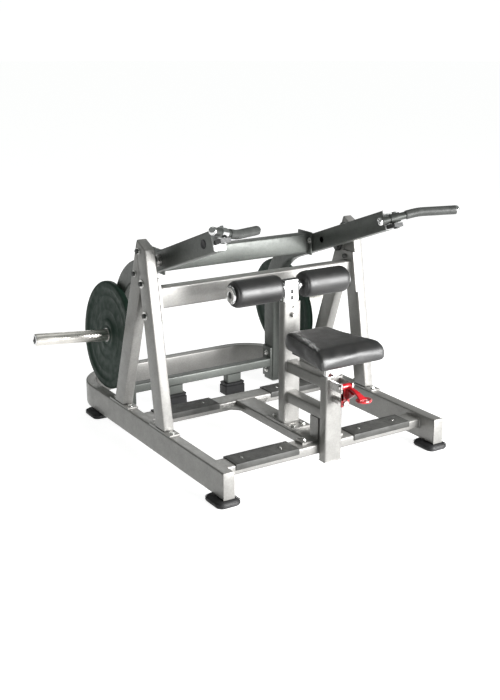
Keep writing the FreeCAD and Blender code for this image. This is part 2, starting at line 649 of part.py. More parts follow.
def stop_bar():
    reach = ARM_IN - STOP_FLANGE
    bar = tube_along_x((-reach, reach), STOP_BAR_Y, STOP_BAR_Z)
    stub_x = (STOP_X - STUB_HALF, STOP_X + STUB_HALF)
    stub = tube_along_z(stub_x, STOP_BAR_Y, (STUB_BOTTOM, STOP_BAR_Z[0]))
    return [bar] + both_sides([stub])


def rubber_stop():
    x = (STOP_X - STOP_HALF, STOP_X + STOP_HALF)
    return box(x, STOP_Y, (0.0, STUB_BOTTOM))


def horn_axis():
    return V(math.cos(HORN_TILT), 0, math.sin(HORN_TILT))


def horn_root():
    return V(ARM_OUT, HORN_Y, HORN_ROOT_Z)


def weight_horn():
    root, axis = horn_root(), horn_axis()
    horn = rod(root - axis * 10, root + axis * (HORN_LENGTH - HORN_CAP), HORN_RADIUS)
    collar = rod(root - axis * 10, root + axis * COLLAR_LENGTH, COLLAR_RADIUS)
    sleeve = rod(root, root + axis * SEAT_SLEEVE_END, SEAT_SLEEVE_RADIUS)
    horn = horn.fuse(collar).fuse(sleeve).removeSplitter()
    bore = rod(root - axis * 20, root + axis * HORN_LENGTH, HORN_RADIUS - HORN_WALL)
    horn = horn.cut(bore)
    inside = box((ARM_OUT - 60, ARM_OUT), (HORN_Y - 80, HORN_Y + 80), (200.0, 500.0))
    return horn.cut(inside)


def horn_end_cap():
    root, axis = horn_root(), horn_axis()
    start = root + axis * (HORN_LENGTH - HORN_CAP)
    return rod(start, start + axis * HORN_CAP, HORN_CAP_RADIUS)


def make_press_arm():
    save_pair("press_arm", press_arm())
    reach = ARM_IN - CROSS_FLANGE
    save("arm_cross_tube", tube_along_x((-reach, reach), ARM_CROSS_Y, ARM_CROSS_Z))
    cross_flange = arm_flange(CROSS_FLANGE, CROSS_FLANGE_Y, CROSS_FLANGE_Z)
    save("arm_cross_flanges", both_sides([cross_flange]))
    save("stop_bar_flanges", both_sides([arm_flange(STOP_FLANGE, STOP_FLANGE_Y, STOP_FLANGE_Z)]))
    save("arm_bolts", both_sides([arm_bolt(place) for place in arm_bolt_places()]))
    save("pivot_shafts", both_sides([pivot_shaft()]))
    save("stop_bar", stop_bar())
    save("rubber_stops", both_sides([rubber_stop()]))
    save("weight_horns", both_sides([weight_horn()]))
    save("horn_end_caps", both_sides([horn_end_cap()]))
    save("arm_end_caps", both_sides([arm_end_cap(), arm_foot_cap()]))
    save_pair("weight_plate", weight_plate())


def weight_plate():
    # A rubber disc with a raised rim and hub and a dished web between them on both faces.
    half = PLATE_THICK / 2
    web = half - PLATE_DISH
    rim_in = PLATE_RADIUS - PLATE_RIM
    points = [
        (PLATE_BORE, -half), (PLATE_HUB, -half), (PLATE_HUB + PLATE_SLOPE, -web),
        (rim_in - PLATE_SLOPE, -web), (rim_in, -half), (PLATE_RADIUS - PLATE_CHAMFER, -half),
        (PLATE_RADIUS, PLATE_CHAMFER - half), (PLATE_RADIUS, half - PLATE_CHAMFER),
        (PLATE_RADIUS - PLATE_CHAMFER, half), (rim_in, half), (rim_in - PLATE_SLOPE, web),
        (PLATE_HUB + PLATE_SLOPE, web), (PLATE_HUB, half), (PLATE_BORE, half)]
    corners = [V(radius, 0, height) for radius, height in points]
    corners.append(corners[0])
    disc = Part.Face(Part.makePolygon(corners)).revolve(V(0, 0, 0), V(0, 0, 1), 360)
    centre = horn_root() + horn_axis() * (PLATE_START + half)
    disc.Placement = FreeCAD.Placement(centre, FreeCAD.Rotation(V(0, 0, 1), horn_axis()))
    return disc


# ---- Handles ----

def handle_placement(angle, x, lift):
    # Local x runs along the handle, local z across the arm, with the origin in the hub.
    along_handle = V(math.cos(angle), 0, 0) + ARM_FRONT * math.sin(angle)
    turn = FreeCAD.Rotation(along_handle, V(0, 0, 0), ARM_UP, "ZXY")
    return FreeCAD.Placement(arm_point(ARM_REACH + HUB_AHEAD, lift) + V(x, 0, 0), turn)


def placed(shape, placement):
    moved = shape.copy()
    moved.Placement = placement
    return moved


def bent_rod(radius, start, stop_short):
    # A rod that follows the handle: straight, a gentle knee, then straight to the tip.
    rise = V(math.cos(HANDLE_RISE), 0, math.sin(HANDLE_RISE))
    fall = V(math.cos(HANDLE_FALL), 0, -math.sin(HANDLE_FALL))
    turn = HANDLE_RISE + HANDLE_FALL
    tangent = KNEE_RADIUS * math.tan(turn / 2)
    knee_start = rise * (HANDLE_KNEE - tangent)
    knee_end = rise * HANDLE_KNEE + fall * tangent
    tip = rise * HANDLE_KNEE + fall * (HANDLE_TIP - stop_short)
    centre = knee_start - V(-math.sin(HANDLE_RISE), 0, math.cos(HANDLE_RISE)) * KNEE_RADIUS
    disc = Part.Face(Part.Wire(Part.makeCircle(radius, knee_start, rise)))
    knee = disc.revolve(centre, V(0, 1, 0), math.degrees(turn))
    first = rod(rise * start, knee_start, radius)
    last = rod(knee_end, tip, radius)
    return first.fuse(knee).fuse(last).removeSplitter()


def handle_tube():
    outer = bent_rod(HANDLE_RADIUS, -HANDLE_TAIL, 0.0)
    return outer.cut(bent_rod(HANDLE_RADIUS - WALL, TUBE_END_WALL - HANDLE_TAIL, TUBE_END_WALL))


def handle_grip():
    sleeve = bent_rod(GRIP_RADIUS, GRIP_START, GRIP_END_GAP)
    return sleeve.cut(bent_rod(HANDLE_RADIUS, 0.0, -GRIP_END_GAP))


def handle_clamp(tilt):
    # The collar round the tube, with the swivel stud below it and the clamp bolt on top.
    rise = V(math.cos(tilt), 0, math.sin(tilt))
    collar = rod(rise * -CLAMP_HALF, rise * CLAMP_HALF, CLAMP_RADIUS)
    stud = rod(V(0, 0, BLOCK_BOTTOM - 1.0), V(0, 0, -HANDLE_RADIUS), SWIVEL_RADIUS)
    low, high = [V(0, 0, BLOCK_BOTTOM + level) for level in SWIVEL_WASHER]
    washer = rod(low, high, SWIVEL_WASHER_RADIUS)
    head = hexagon(V(0, 0, HANDLE_RADIUS), V(0, 0, 1), CLAMP_HEAD_RADIUS, CLAMP_HEAD_HEIGHT)
    clamp = collar.fuse(stud).fuse(washer).fuse(head)
    return clamp.cut(rod(rise * -60, rise * 60, HANDLE_RADIUS)).removeSplitter()


def handle_block(x, lift):
    # The block on the arm's end that the swivel stud turns in.
    block = box((-BLOCK_HALF, BLOCK_HALF), (ARM_CAP, BLOCK_REACH), (BLOCK_BOTTOM, BLOCK_TOP))
    block = block.cut(rod(V(0, HUB_AHEAD, BLOCK_BOTTOM - 1), V(0, HUB_AHEAD, BLOCK_TOP + 1),
                          SWIVEL_RADIUS + SHAFT_CLEARANCE))
    turn = FreeCAD.Rotation(V(0, 0, 0), ARM_FRONT, ARM_UP, "ZYX")
    return placed(block, FreeCAD.Placement(arm_point(ARM_REACH, lift) + V(x, 0, 0), turn))


def make_handles():
    # Both handles are the same part; the left one is turned over, so it curves the other way.
    right = handle_placement(RIGHT_HANDLE_ANGLE, ARM_MID_X, 0.0)
    left = handle_placement(LEFT_HANDLE_ANGLE, -ARM_MID_X, LEFT_HUB_LIFT)
    turned_over = left.multiply(FreeCAD.Placement(V(0, 0, 0), FreeCAD.Rotation(V(1, 0, 0), 180)))
    for name, shape in (("handle_tube", handle_tube()), ("handle_grip", handle_grip())):
        save("right_" + name, placed(shape, right))
        save("left_" + name, placed(shape, turned_over))
    save("right_handle_clamp", placed(handle_clamp(HANDLE_RISE), right))
    save("left_handle_clamp", placed(handle_clamp(-HANDLE_RISE), left))
    save("handle_blocks", [handle_block(ARM_MID_X, 0.0), handle_block(-ARM_MID_X, LEFT_HUB_LIFT)])


# ---- Rollers ----

def roller_post():
    x = inset((-POST_HALF, POST_HALF), WALL + SLIDE_PLAY)
    y = inset(REAR_POST_Y, WALL + SLIDE_PLAY)
    post = tube_along_z(x, y, (ROLLER_POST_BOTTOM, ROLLER_TOP))
    slot = slotted(y[0], POP_PIN_Z - ROLLER_LIFT, POP_PIN_Z)
    axle_hole = rod(V(-60, ROLLER_Y, ROLLER_Z), V(60, ROLLER_Y, ROLLER_Z), AXLE_RADIUS)
    return post.cut(slot).cut(axle_hole)


def slotted(front, low, high):
    # The cutter of a vertical slot through a front wall, round at both ends.
    radius = PIN_RADIUS + SLOT_EASE
    y = (front - 1.0, front + WALL + 1.0)
    slot = box((-radius, radius), y, (low, high))
    for z in (low, high):
        slot = slot.fuse(rod(V(0, y[0], z), V(0, y[1], z), radius))
    return slot


def roller_axle():
    reach = ROLLER_X[1] + AXLE_STICKOUT
    return rod(V(-reach, ROLLER_Y, ROLLER_Z), V(reach, ROLLER_Y, ROLLER_Z), AXLE_RADIUS)


def roller_pad():
    start, end = V(ROLLER_X[0], ROLLER_Y, ROLLER_Z), V(ROLLER_X[1], ROLLER_Y, ROLLER_Z)
    pad = rod(start, end, ROLLER_RADIUS)
    rims = [edge for edge in pad.Edges if len(edge.Vertexes) == 1]
    pad = pad.makeFillet(ROLLER_FILLET, rims)
    return pad.cut(rod(start - V(5, 0, 0), end + V(5, 0, 0), AXLE_RADIUS + SHAFT_CLEARANCE))


def roller_end_cap():
    start = V(ROLLER_X[1] + ROLLER_GAP, ROLLER_Y, ROLLER_Z)
    cap = rod(start, start + V(ROLLER_CAP_LENGTH, 0, 0), ROLLER_CAP_RADIUS)
    return cap.cut(rod(start, start + V(AXLE_STICKOUT - ROLLER_GAP, 0, 0), AXLE_RADIUS))


def roller_washer():
    start = V(POST_HALF - WALL - SLIDE_PLAY, ROLLER_Y, ROLLER_Z)
    end = V(ROLLER_X[0] - ROLLER_GAP, ROLLER_Y, ROLLER_Z)
    return pipe(start, end, ROLLER_WASHER_RADIUS, AXLE_RADIUS)


def pull_pin(z, nose, knob_start, knob_length, knob_radius):
    pin = rod(V(0, knob_start, z), V(0, nose, z), PIN_RADIUS)
    knob = rod(V(0, knob_start - knob_length, z), V(0, knob_start, z), knob_radius)
    return pin.fuse(knob).removeSplitter()


def pop_pin():
    face = REAR_POST_Y[0]
    knob = face - POP_BARREL_LENGTH - 1.0
    return pull_pin(POP_PIN_Z, face + PIN_BITE, knob, POP_KNOB_LENGTH, POP_KNOB_RADIUS)


def make_rollers():
    save("roller_post", roller_post())
    save("roller_axle", roller_axle())
    save("roller_caps", both_sides([roller_end_cap(), roller_washer()]))
    save_pair("roller_pad", roller_pad())
    save("pop_pin", pop_pin())


# ---- Seat ----

def seat_post():
    x = inset((-POST_HALF, POST_HALF), WALL + SLIDE_PLAY)
    y = inset(FRONT_POST_Y, WALL + SLIDE_PLAY)
    post = tube_along_z(x, y, (SEAT_POST_BOTTOM, SEAT_BOTTOM - SEAT_PLATE))
    low = LOCK_PIN_Z - SEAT_TRAVEL
    high = LOCK_PIN_Z
    return post.cut(slotted(y[0], low, high))


def seat_plate():
    x = (-SEAT_PLATE_HALF, SEAT_PLATE_HALF)
    return box(x, SEAT_PLATE_Y, (SEAT_BOTTOM - SEAT_PLATE, SEAT_BOTTOM))


def seat_pad():
    points = [
        (-SEAT_FRONT_HALF, SEAT_FRONT), (SEAT_FRONT_HALF, SEAT_FRONT),
        (SEAT_REAR_HALF, SEAT_REAR), (-SEAT_REAR_HALF, SEAT_REAR)]
    pad = flat_profile(points, (SEAT_BOTTOM, SEAT_TOP))
    upright = [edge for edge in pad.Edges if abs(edge.tangentAt(edge.FirstParameter).z) > 0.9]
    pad = pad.makeFillet(SEAT_CORNER, upright)
    top = [edge for edge in pad.Edges if edge.BoundBox.ZMin > SEAT_TOP - 1.0]
    return pad.makeFillet(SEAT_TOP_EDGE, top)


def seat_lever():
    # The hub on the pivot bolt, the slotted strap that draws the lock pin, and the paddle.
    y, z = LEVER_PIVOT
    hub = rod(V(-LEVER_HUB_HALF, y, z), V(LEVER_HUB_HALF, y, z), LEVER_HUB_RADIUS)
    strap_z = (LOCK_PIN_Z - STRAP_BELOW_PIN, z)
    strap = box((-STRAP_HALF, STRAP_HALF), (y - STRAP_THICK, y + STRAP_THICK), strap_z)
    notch_z = (strap_z[0] - 1.0, LOCK_PIN_Z + NOTCH_ABOVE_PIN)
    strap = strap.cut(box((-NOTCH_HALF, NOTCH_HALF), (y - 10.0, y + 10.0), notch_z))
    stem_end = PADDLE_Y + STEM_INTO_PADDLE
    stem = side_profile([(y - 2.0, z - 8.0), (y - 2.0, z + 6.0), (stem_end, PADDLE_Z + 4.0),
                         (stem_end, PADDLE_Z - 4.0)], STEM_X)
    oval = Part.Ellipse(V(0, 0, 0), PADDLE_LENGTH / 2, PADDLE_WIDTH / 2).toShape()
    oval.rotate(V(0, 0, 0), V(0, 0, 1), 90)
    paddle = Part.Face(Part.Wire(oval)).extrude(V(0, 0, PADDLE_THICK))
    paddle = paddle.makeFillet(PADDLE_THICK * 0.4, paddle.Edges[0:1] + paddle.Edges[-1:])
    paddle = paddle.translated(V(PADDLE_X, PADDLE_Y, PADDLE_Z - PADDLE_THICK / 2))
    lever = hub.fuse(strap).fuse(stem).fuse(paddle)
    bore = rod(V(-30, y, z), V(30, y, z), LEVER_BOLT_RADIUS + SHAFT_CLEARANCE)
    return lever.cut(bore).removeSplitter()


def lock_pin():
    head = LEVER_PIVOT[0] - STRAP_THICK - 0.5
    nose = FRONT_POST_Y[0] + PIN_BITE
    return pull_pin(LOCK_PIN_Z, nose, head, LOCK_HEAD_LENGTH, LOCK_HEAD_RADIUS)


def make_seat():
    save("seat_inner_post", seat_post())
    save("seat_plate", seat_plate())
    save("seat_pad", seat_pad())
    save("seat_lever", seat_lever())
    save("lock_pin", lock_pin())


os.makedirs("parts", exist_ok=True)
make_base()
make_a_frames()
make_seat_frame()
make_press_arm()
make_handles()
make_rollers()
make_seat()
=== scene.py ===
"""Looks of the seated dip press machine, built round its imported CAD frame. Metres, row frame."""
import json
import math

import bmesh
import bpy
import numpy as np
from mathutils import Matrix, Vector
from mathutils.bvhtree import BVHTree


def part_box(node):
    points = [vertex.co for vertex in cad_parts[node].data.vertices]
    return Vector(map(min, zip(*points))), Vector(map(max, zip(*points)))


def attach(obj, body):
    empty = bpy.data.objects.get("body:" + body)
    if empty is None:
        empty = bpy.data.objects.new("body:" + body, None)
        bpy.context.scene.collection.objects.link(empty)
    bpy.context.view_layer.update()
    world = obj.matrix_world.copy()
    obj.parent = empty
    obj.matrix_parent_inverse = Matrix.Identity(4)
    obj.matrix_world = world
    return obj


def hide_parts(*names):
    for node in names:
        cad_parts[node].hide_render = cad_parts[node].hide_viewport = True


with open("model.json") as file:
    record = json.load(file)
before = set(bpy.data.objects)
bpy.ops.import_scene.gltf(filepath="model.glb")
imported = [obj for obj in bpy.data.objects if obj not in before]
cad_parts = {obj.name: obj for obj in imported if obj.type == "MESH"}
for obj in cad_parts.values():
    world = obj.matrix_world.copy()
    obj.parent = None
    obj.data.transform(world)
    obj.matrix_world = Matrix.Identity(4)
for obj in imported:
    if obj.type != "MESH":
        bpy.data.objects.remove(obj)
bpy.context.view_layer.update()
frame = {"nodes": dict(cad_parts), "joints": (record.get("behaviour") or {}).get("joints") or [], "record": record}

X, Y, Z = Vector((1, 0, 0)), Vector((0, 1, 0)), Vector((0, 0, 1))
SIDES = (("right", 1), ("left", -1))

# Tubes and arms
TUBE_CORNER, TUBE_WALL = 0.0065, 0.003
ARM_SLOPE = math.atan(0.352)
ARM_REACH, ARM_HALF = 0.416, 0.0375
ARM_MID_X, ARM_SIDE_HALF = 0.374, 0.025
ARM_BEND = 0.2625
ARM_UP = Vector((0, math.sin(ARM_SLOPE), math.cos(ARM_SLOPE)))
ARM_FRONT = Vector((0, -math.cos(ARM_SLOPE), math.sin(ARM_SLOPE)))

# A-frame outlines, as (y, z)
LEG_X = (0.4515, 0.4935)
FRONT_LEG = ((-0.161, 0.133), (-0.0435, 0.800), (0.022, 0.829), (0.0065, 0.6506), (-0.085, 0.133))
REAR_LEG = ((0.0065, 0.6506), (0.022, 0.829), (0.2675, 0.133), (0.188, 0.133))

# Weight horns and plates
HORN_TILT = math.radians(5)
HORN_ROOT = Vector((0.399, 0.430, 0.3529))
HORN_RADIUS, HORN_LENGTH, HORN_COLLAR = 0.024, 0.354, 0.019
PLATE_START, PLATE_THICK, PLATE_RADIUS = 0.020, 0.026, 0.223

# Seat and rollers
SEAT_FRONT_HALF, SEAT_REAR_HALF = 0.148, 0.095
CLOTH_FRAMES = 20

# Handles
HUB_AHEAD, LEFT_HUB_LIFT = 0.036, 0.020
HANDLE_ANGLES = {"right": math.radians(23), "left": math.radians(-29)}
HANDLE_RISE, HANDLE_FALL = math.radians(5), math.radians(6)
HANDLE_TAIL, HANDLE_KNEE, HANDLE_TIP = -0.066, 0.091, 0.162
TUBE_R, GRIP_R, GRIP_START = 0.014, 0.017, 0.042


# ---- Mesh helpers ----

def piece(name, bm, body, material, sharp=38.0):
    """Turns bm into an object that rides on body; edges sharper than sharp degrees stay crisp."""
    bmesh.ops.remove_doubles(bm, verts=bm.verts, dist=1e-6)
    bmesh.ops.recalc_face_normals(bm, faces=bm.faces)
    for face in bm.faces:
        face.smooth = True
    for edge in bm.edges:
        if len(edge.link_faces) == 2 and edge.calc_face_angle(0) > math.radians(sharp):
            edge.smooth = False
    mesh = bpy.data.meshes.new(name)
    bm.to_mesh(mesh)
    bm.free()
    made = bpy.data.objects.new(name, mesh)
    bpy.context.scene.collection.objects.link(made)
    mesh.materials.append(material)
    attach(made, body)
    return made


def islands(node):
    """The lowest and highest corner of each separate solid of a CAD node."""
    mesh = frame["nodes"][node].data
    bm = bmesh.new()
    bm.from_mesh(mesh)
    bmesh.ops.remove_doubles(bm, verts=bm.verts, dist=1e-6)
    bm.verts.ensure_lookup_table()
    seen, boxes = set(), []
    for start in bm.verts:
        if start.index in seen:
            continue
        stack, members = [start], []
        seen.add(start.index)
        while stack:
            vert = stack.pop()
            members.append(vert.co.copy())
            for edge in vert.link_edges:
                other = edge.other_vert(vert)
                if other.index not in seen:
                    seen.add(other.index)
                    stack.append(other)
        low = Vector([min(co[k] for co in members) for k in range(3)])
        high = Vector([max(co[k] for co in members) for k in range(3)])
        boxes.append((low, high))
    bm.free()
    return sorted(boxes, key=lambda pair: tuple(round(c, 4) for c in pair[0]))


def rounded_rect(half_a, half_b, radius, steps=4):
    points = []
    for quarter in range(4):
        sign_a = (1, -1, -1, 1)[quarter]
        sign_b = (1, 1, -1, -1)[quarter]
        for i in range(steps + 1):
            turn = math.radians(90) * (quarter + i / steps)
            points.append((sign_a * (half_a - radius) + radius * math.cos(turn),
                           sign_b * (half_b - radius) + radius * math.sin(turn)))
    return points


def circle(radius, steps):
    turns = [2 * math.pi * i / steps for i in range(steps)]
    return [(radius * math.cos(turn), radius * math.sin(turn)) for turn in turns]


def ring(bm, place, outline):
    """Vertices of outline in the plane of place, which is (origin, first axis, second axis)."""
    origin, across, up = place
    return [bm.verts.new(origin + across * a + up * b) for a, b in outline]


def skin(bm, rings, closed=False):
    pairs = list(zip(rings, rings[1:]))
    if closed:
        pairs.append((rings[-1], rings[0]))
    for first, second in pairs:
        count = len(first)
        for i in range(count):
            j = (i + 1) % count
            bm.faces.new((first[i], first[j], second[j], second[i]))


def capped(bm, rings):
    skin(bm, rings)
    bm.faces.new(rings[0])
    bm.faces.new(rings[-1])


def hollow_sweep(bm, places, half, radius=TUBE_CORNER, wall=TUBE_WALL):
    outer = rounded_rect(half[0], half[1], radius)
    inner = rounded_rect(half[0] - wall, half[1] - wall, max(radius - wall, 0.001))
    outside = [ring(bm, place, outer) for place in places]
    inside = [ring(bm, place, inner) for place in places]
    skin(bm, outside)
    skin(bm, inside)
    for end in (0, -1):
        skin(bm, [outside[end], inside[end]])


def lathe(bm, profile, origin, axis, steps=72):
    """Turns profile, a list of (radius, height) along axis, about the axis."""
    side = axis.orthogonal().normalized()
    other = axis.cross(side).normalized()
    rings = []
    for radius, height in profile:
        rings.append(ring(bm, (origin + axis * height, side, other), circle(radius, steps)))
    return rings


def turned(bm, profile, origin, axis, steps=72):
    capped(bm, lathe(bm, profile, origin, axis, steps))


def ring_solid(bm, profile, origin, axis, steps=72):
    skin(bm, lathe(bm, profile, origin, axis, steps), closed=True)


def rounded_box(bm, low, high, bevel, segments=2):
    size = high - low
    made = bmesh.ops.create_cube(bm, size=1.0)["verts"]
    for vert in made:
        vert.co = (low + high) / 2 + Vector([vert.co[k] * size[k] for k in range(3)])
    edges = list({edge for vert in made for edge in vert.link_edges})
    bmesh.ops.bevel(bm, geom=edges, offset=bevel, segments=segments, profile=0.5, affect="EDGES")


def prism(bm, outline, x, bevel, segments=3):
    """A solid with a (y, z) outline between two x, its edges rounded."""
    near = [bm.verts.new((x[0], y, z)) for y, z in outline]
    far = [bm.verts.new((x[1], y, z)) for y, z in outline]
    capped(bm, [near, far])
    bmesh.ops.recalc_face_normals(bm, faces=bm.faces)
    edges = list({edge for vert in near + far for edge in vert.link_edges})
    bmesh.ops.bevel(bm, geom=edges, offset=bevel, segments=segments, profile=0.5, affect="EDGES")


def tube_along(bm, points, radius, closed=False, sides=8, ripple=0.0):
    """A round tube through points; ripple swells it in turn, as a weld bead does."""
    count = len(points)
    rings = []
    up = None
    for i, point in enumerate(points):
        before = points[i - 1] if i or closed else point
        after = points[(i + 1) % count] if i + 1 < count or closed else point
        ahead = (after - before).normalized()
        if up is None:
            up = ahead.orthogonal()
        up = (up - ahead * up.dot(ahead)).normalized()
        swell = radius * (1 + ripple * math.sin(i * 2.1))
        rings.append(ring(bm, (point, up, ahead.cross(up)), circle(swell, sides)))
    if closed:
        skin(bm, rings, closed=True)
    else:
        capped(bm, rings)


def drill(target, start, end, radius, high=None):
    """Cuts a round hole, or a slot up to high, through target."""
    bm = bmesh.new()
    axis = (end - start).normalized()
    rise = Z * ((high or start.z) - start.z)
    outline = []
    for a, b in circle(radius, 32):
        outline.append(X * a + Z * b + (rise if b > 0 else Vector()))
    capped(bm, [[bm.verts.new(base + step) for step in outline] for base in (start, end)])
    bmesh.ops.recalc_face_normals(bm, faces=bm.faces)
    mesh = bpy.data.meshes.new("cutter")
    bm.to_mesh(mesh)
    bm.free()
    cutter = bpy.data.objects.new("cutter", mesh)
    bpy.context.scene.collection.objects.link(cutter)
    change = target.modifiers.new("hole", "BOOLEAN")
    change.operation, change.object, change.solver = "DIFFERENCE", cutter, "EXACT"
    apply_modifiers(target)
    bpy.data.objects.remove(cutter)


def apply_modifiers(target):
    graph = bpy.context.evaluated_depsgraph_get()
    mesh = bpy.data.meshes.new_from_object(target.evaluated_get(graph))
    target.modifiers.clear()
    target.data = mesh


# ---- Materials ----

class Finish:
    """A material whose colour, roughness and bump come from nodes in the object's own space."""

    def __init__(self, name, colour, roughness, metallic=0.0, **settings):
        self.material = bpy.data.materials.new(name)
        self.material.use_nodes = True
        self.tree = self.material.node_tree
        self.shader = self.tree.nodes["Principled BSDF"]
        self.shader.inputs["Base Color"].default_value = (*colour, 1)
        self.shader.inputs["Roughness"].default_value = roughness
        self.shader.inputs["Metallic"].default_value = metallic
        for socket, value in settings.items():
            self.shader.inputs[socket.replace("_", " ")].default_value = value
        self.colour = self.shader.inputs["Base Color"]
        self.place = self.tree.nodes.new("ShaderNodeTexCoord").outputs["Object"]
        self.normal = None

    def join(self, start, end):
        self.tree.links.new(start, end)

    def node(self, kind, **settings):
        made = self.tree.nodes.new(kind)
        for key, value in settings.items():
            setattr(made, key, value)
        return made

    def noise(self, scale, detail=4.0, stretch=(1, 1, 1)):
        spread = self.node("ShaderNodeMapping")
        spread.inputs["Scale"].default_value = stretch
        self.join(self.place, spread.inputs["Vector"])
        made = self.node("ShaderNodeTexNoise")
        made.inputs["Scale"].default_value = scale
        made.inputs["Detail"].default_value = detail
        self.join(spread.outputs[0], made.inputs["Vector"])
        return made.outputs["Fac"]

    def ranged(self, value, source, target):
        made = self.node("ShaderNodeMapRange")
        for socket, number in zip(("From Min", "From Max", "To Min", "To Max"), (*source, *target)):
            made.inputs[socket].default_value = number
        self.join(value, made.inputs["Value"])
        return made.outputs["Result"]

    def tint(self, mask, colour):
        """Lays colour over the base colour where mask is high."""
        mix = self.node("ShaderNodeMix", data_type="RGBA")
        first, second = mix.inputs[6], mix.inputs[7]
        if self.colour.is_linked:
            self.join(self.colour.links[0].from_socket, first)
        else:
            first.default_value = self.colour.default_value
        second.default_value = (*colour, 1)
        self.join(mask, mix.inputs[0])
        self.join(mix.outputs[2], self.colour)
        return self

    def mottle(self, scale, colour, strength=0.5, detail=4.0, stretch=(1, 1, 1)):
        fine = self.ranged(self.noise(scale, detail, stretch), (0.35, 0.65), (0, strength))
        return self.tint(fine, colour)

    def rough(self, scale, low, high, stretch=(1, 1, 1)):
        value = self.ranged(self.noise(scale, 3.0, stretch), (0.35, 0.65), (low, high))
        self.join(value, self.shader.inputs["Roughness"])
        return self

    def bump(self, height, strength, distance):
        made = self.node("ShaderNodeBump")
        made.inputs["Strength"].default_value = strength
        made.inputs["Distance"].default_value = distance
        self.join(height, made.inputs["Height"])
        if self.normal:
            self.join(self.normal, made.inputs["Normal"])
        self.normal = made.outputs["Normal"]
        self.join(self.normal, self.shader.inputs["Normal"])
        return self

    def grain(self, scale, strength, distance, detail=3.0, stretch=(1, 1, 1)):
        return self.bump(self.noise(scale, detail, stretch), strength, distance)

    def cells(self, scale, strength, distance):
        made = self.node("ShaderNodeTexVoronoi", feature="DISTANCE_TO_EDGE")
        made.inputs["Scale"].default_value = scale
        self.join(self.place, made.inputs["Vector"])
        return self.bump(self.ranged(made.outputs["Distance"], (0, 0.25), (0, 1)), strength, distance)

    def edges(self, colour, radius, strength):
        """Painted highlight along rounded edges, broken up by noise: where the rounded normal leaves the true one.
        """
        rounded = self.node("ShaderNodeBevel", samples=4)
        rounded.inputs["Radius"].default_value = radius
        true = self.node("ShaderNodeNewGeometry")
        dot = self.node("ShaderNodeVectorMath", operation="DOT_PRODUCT")
        self.join(rounded.outputs[0], dot.inputs[0])
        self.join(true.outputs["True Normal"], dot.inputs[1])
        mask = self.ranged(dot.outputs["Value"], (0.99, 0.80), (0, strength))
        broken = self.node("ShaderNodeMath", operation="MULTIPLY")
        self.join(mask, broken.inputs[0])
        self.join(self.ranged(self.noise(45), (0.4, 0.6), (0.25, 1)), broken.inputs[1])
        return self.tint(broken.outputs[0], colour)


def paint(name, colour, metallic, roughness):
    dark = tuple(c * 0.72 for c in colour)
    light = tuple(min(1, c * 1.3) for c in colour)
    coat = Finish(name, colour, roughness, metallic, Coat_Weight=0.15, Coat_Roughness=0.25)
    coat.mottle(160, light, 0.55, 5).mottle(18, dark, 0.35)
    coat.rough(70, roughness - 0.06, roughness + 0.08)
    coat.grain(900, 0.12, 0.0006).grain(140, 0.05, 0.0008)
    # Painted highlight: the lighter paint along rounded edges.
    return coat.edges(light, 0.003, 0.5).material


def steel(name, colour, roughness, stretch=(1, 1, 1), scale=120):
    bright = tuple(min(1, c * 1.15) for c in colour)
    metal = Finish(name, colour, roughness, 1.0)
    metal.mottle(scale, bright, 0.5, 4, stretch).mottle(20, tuple(c * 0.75 for c in colour), 0.4)
    metal.rough(scale, max(0.03, roughness - 0.06), roughness + 0.10, stretch)
    return metal.grain(scale * 3, 0.05, 0.0004, 3, stretch).material


def rubber(name, colour, roughness, grain=260):
    grey = tuple(c * 1.9 + 0.01 for c in colour)
    made = Finish(name, colour, roughness, Specular_IOR_Level=0.45)
    made.mottle(30, grey, 0.45).rough(50, roughness - 0.08, roughness + 0.12)
    made.grain(grain, 0.2, 0.0008).grain(1200, 0.1, 0.0004)
    # Painted highlight: a lighter grey along rounded edges.
    return made.edges(tuple(c * 2.4 + 0.015 for c in colour), 0.003, 0.5).material


def vinyl():
    made = Finish("black_vinyl", (0.0075, 0.0075, 0.008), 0.44, Specular_IOR_Level=0.70,
                  Coat_Weight=0.10, Coat_Roughness=0.35)
    made.mottle(14, (0.020, 0.019, 0.018), 0.6).rough(28, 0.40, 0.48)
    made.cells(520, 0.16, 0.0005).grain(1400, 0.10, 0.0003).grain(24, 0.05, 0.0015)
    return made.material


def plate_rubber():
    made = Finish("plate_green", (0.0090, 0.031, 0.018), 0.56, Specular_IOR_Level=0.35)
    made.mottle(9, (0.0105, 0.034, 0.023), 0.4).mottle(70, (0.007, 0.025, 0.017), 0.4)
    made.rough(40, 0.50, 0.66).grain(180, 0.25, 0.001).grain(30, 0.15, 0.002)
    # Painted highlight: a lighter green along rounded edges.
    return made.edges((0.03, 0.07, 0.05), 0.003, 0.6).material


def red_gloss():
    made = Finish("red_lever", (0.42, 0.006, 0.012), 0.34, Coat_Weight=0.8, Coat_Roughness=0.06)
    made.mottle(25, (0.52, 0.012, 0.02), 0.6).grain(220, 0.05, 0.0006)
    # Painted highlight: a bright red along rounded edges.
    return made.edges((0.85, 0.10, 0.10), 0.002, 0.4).material


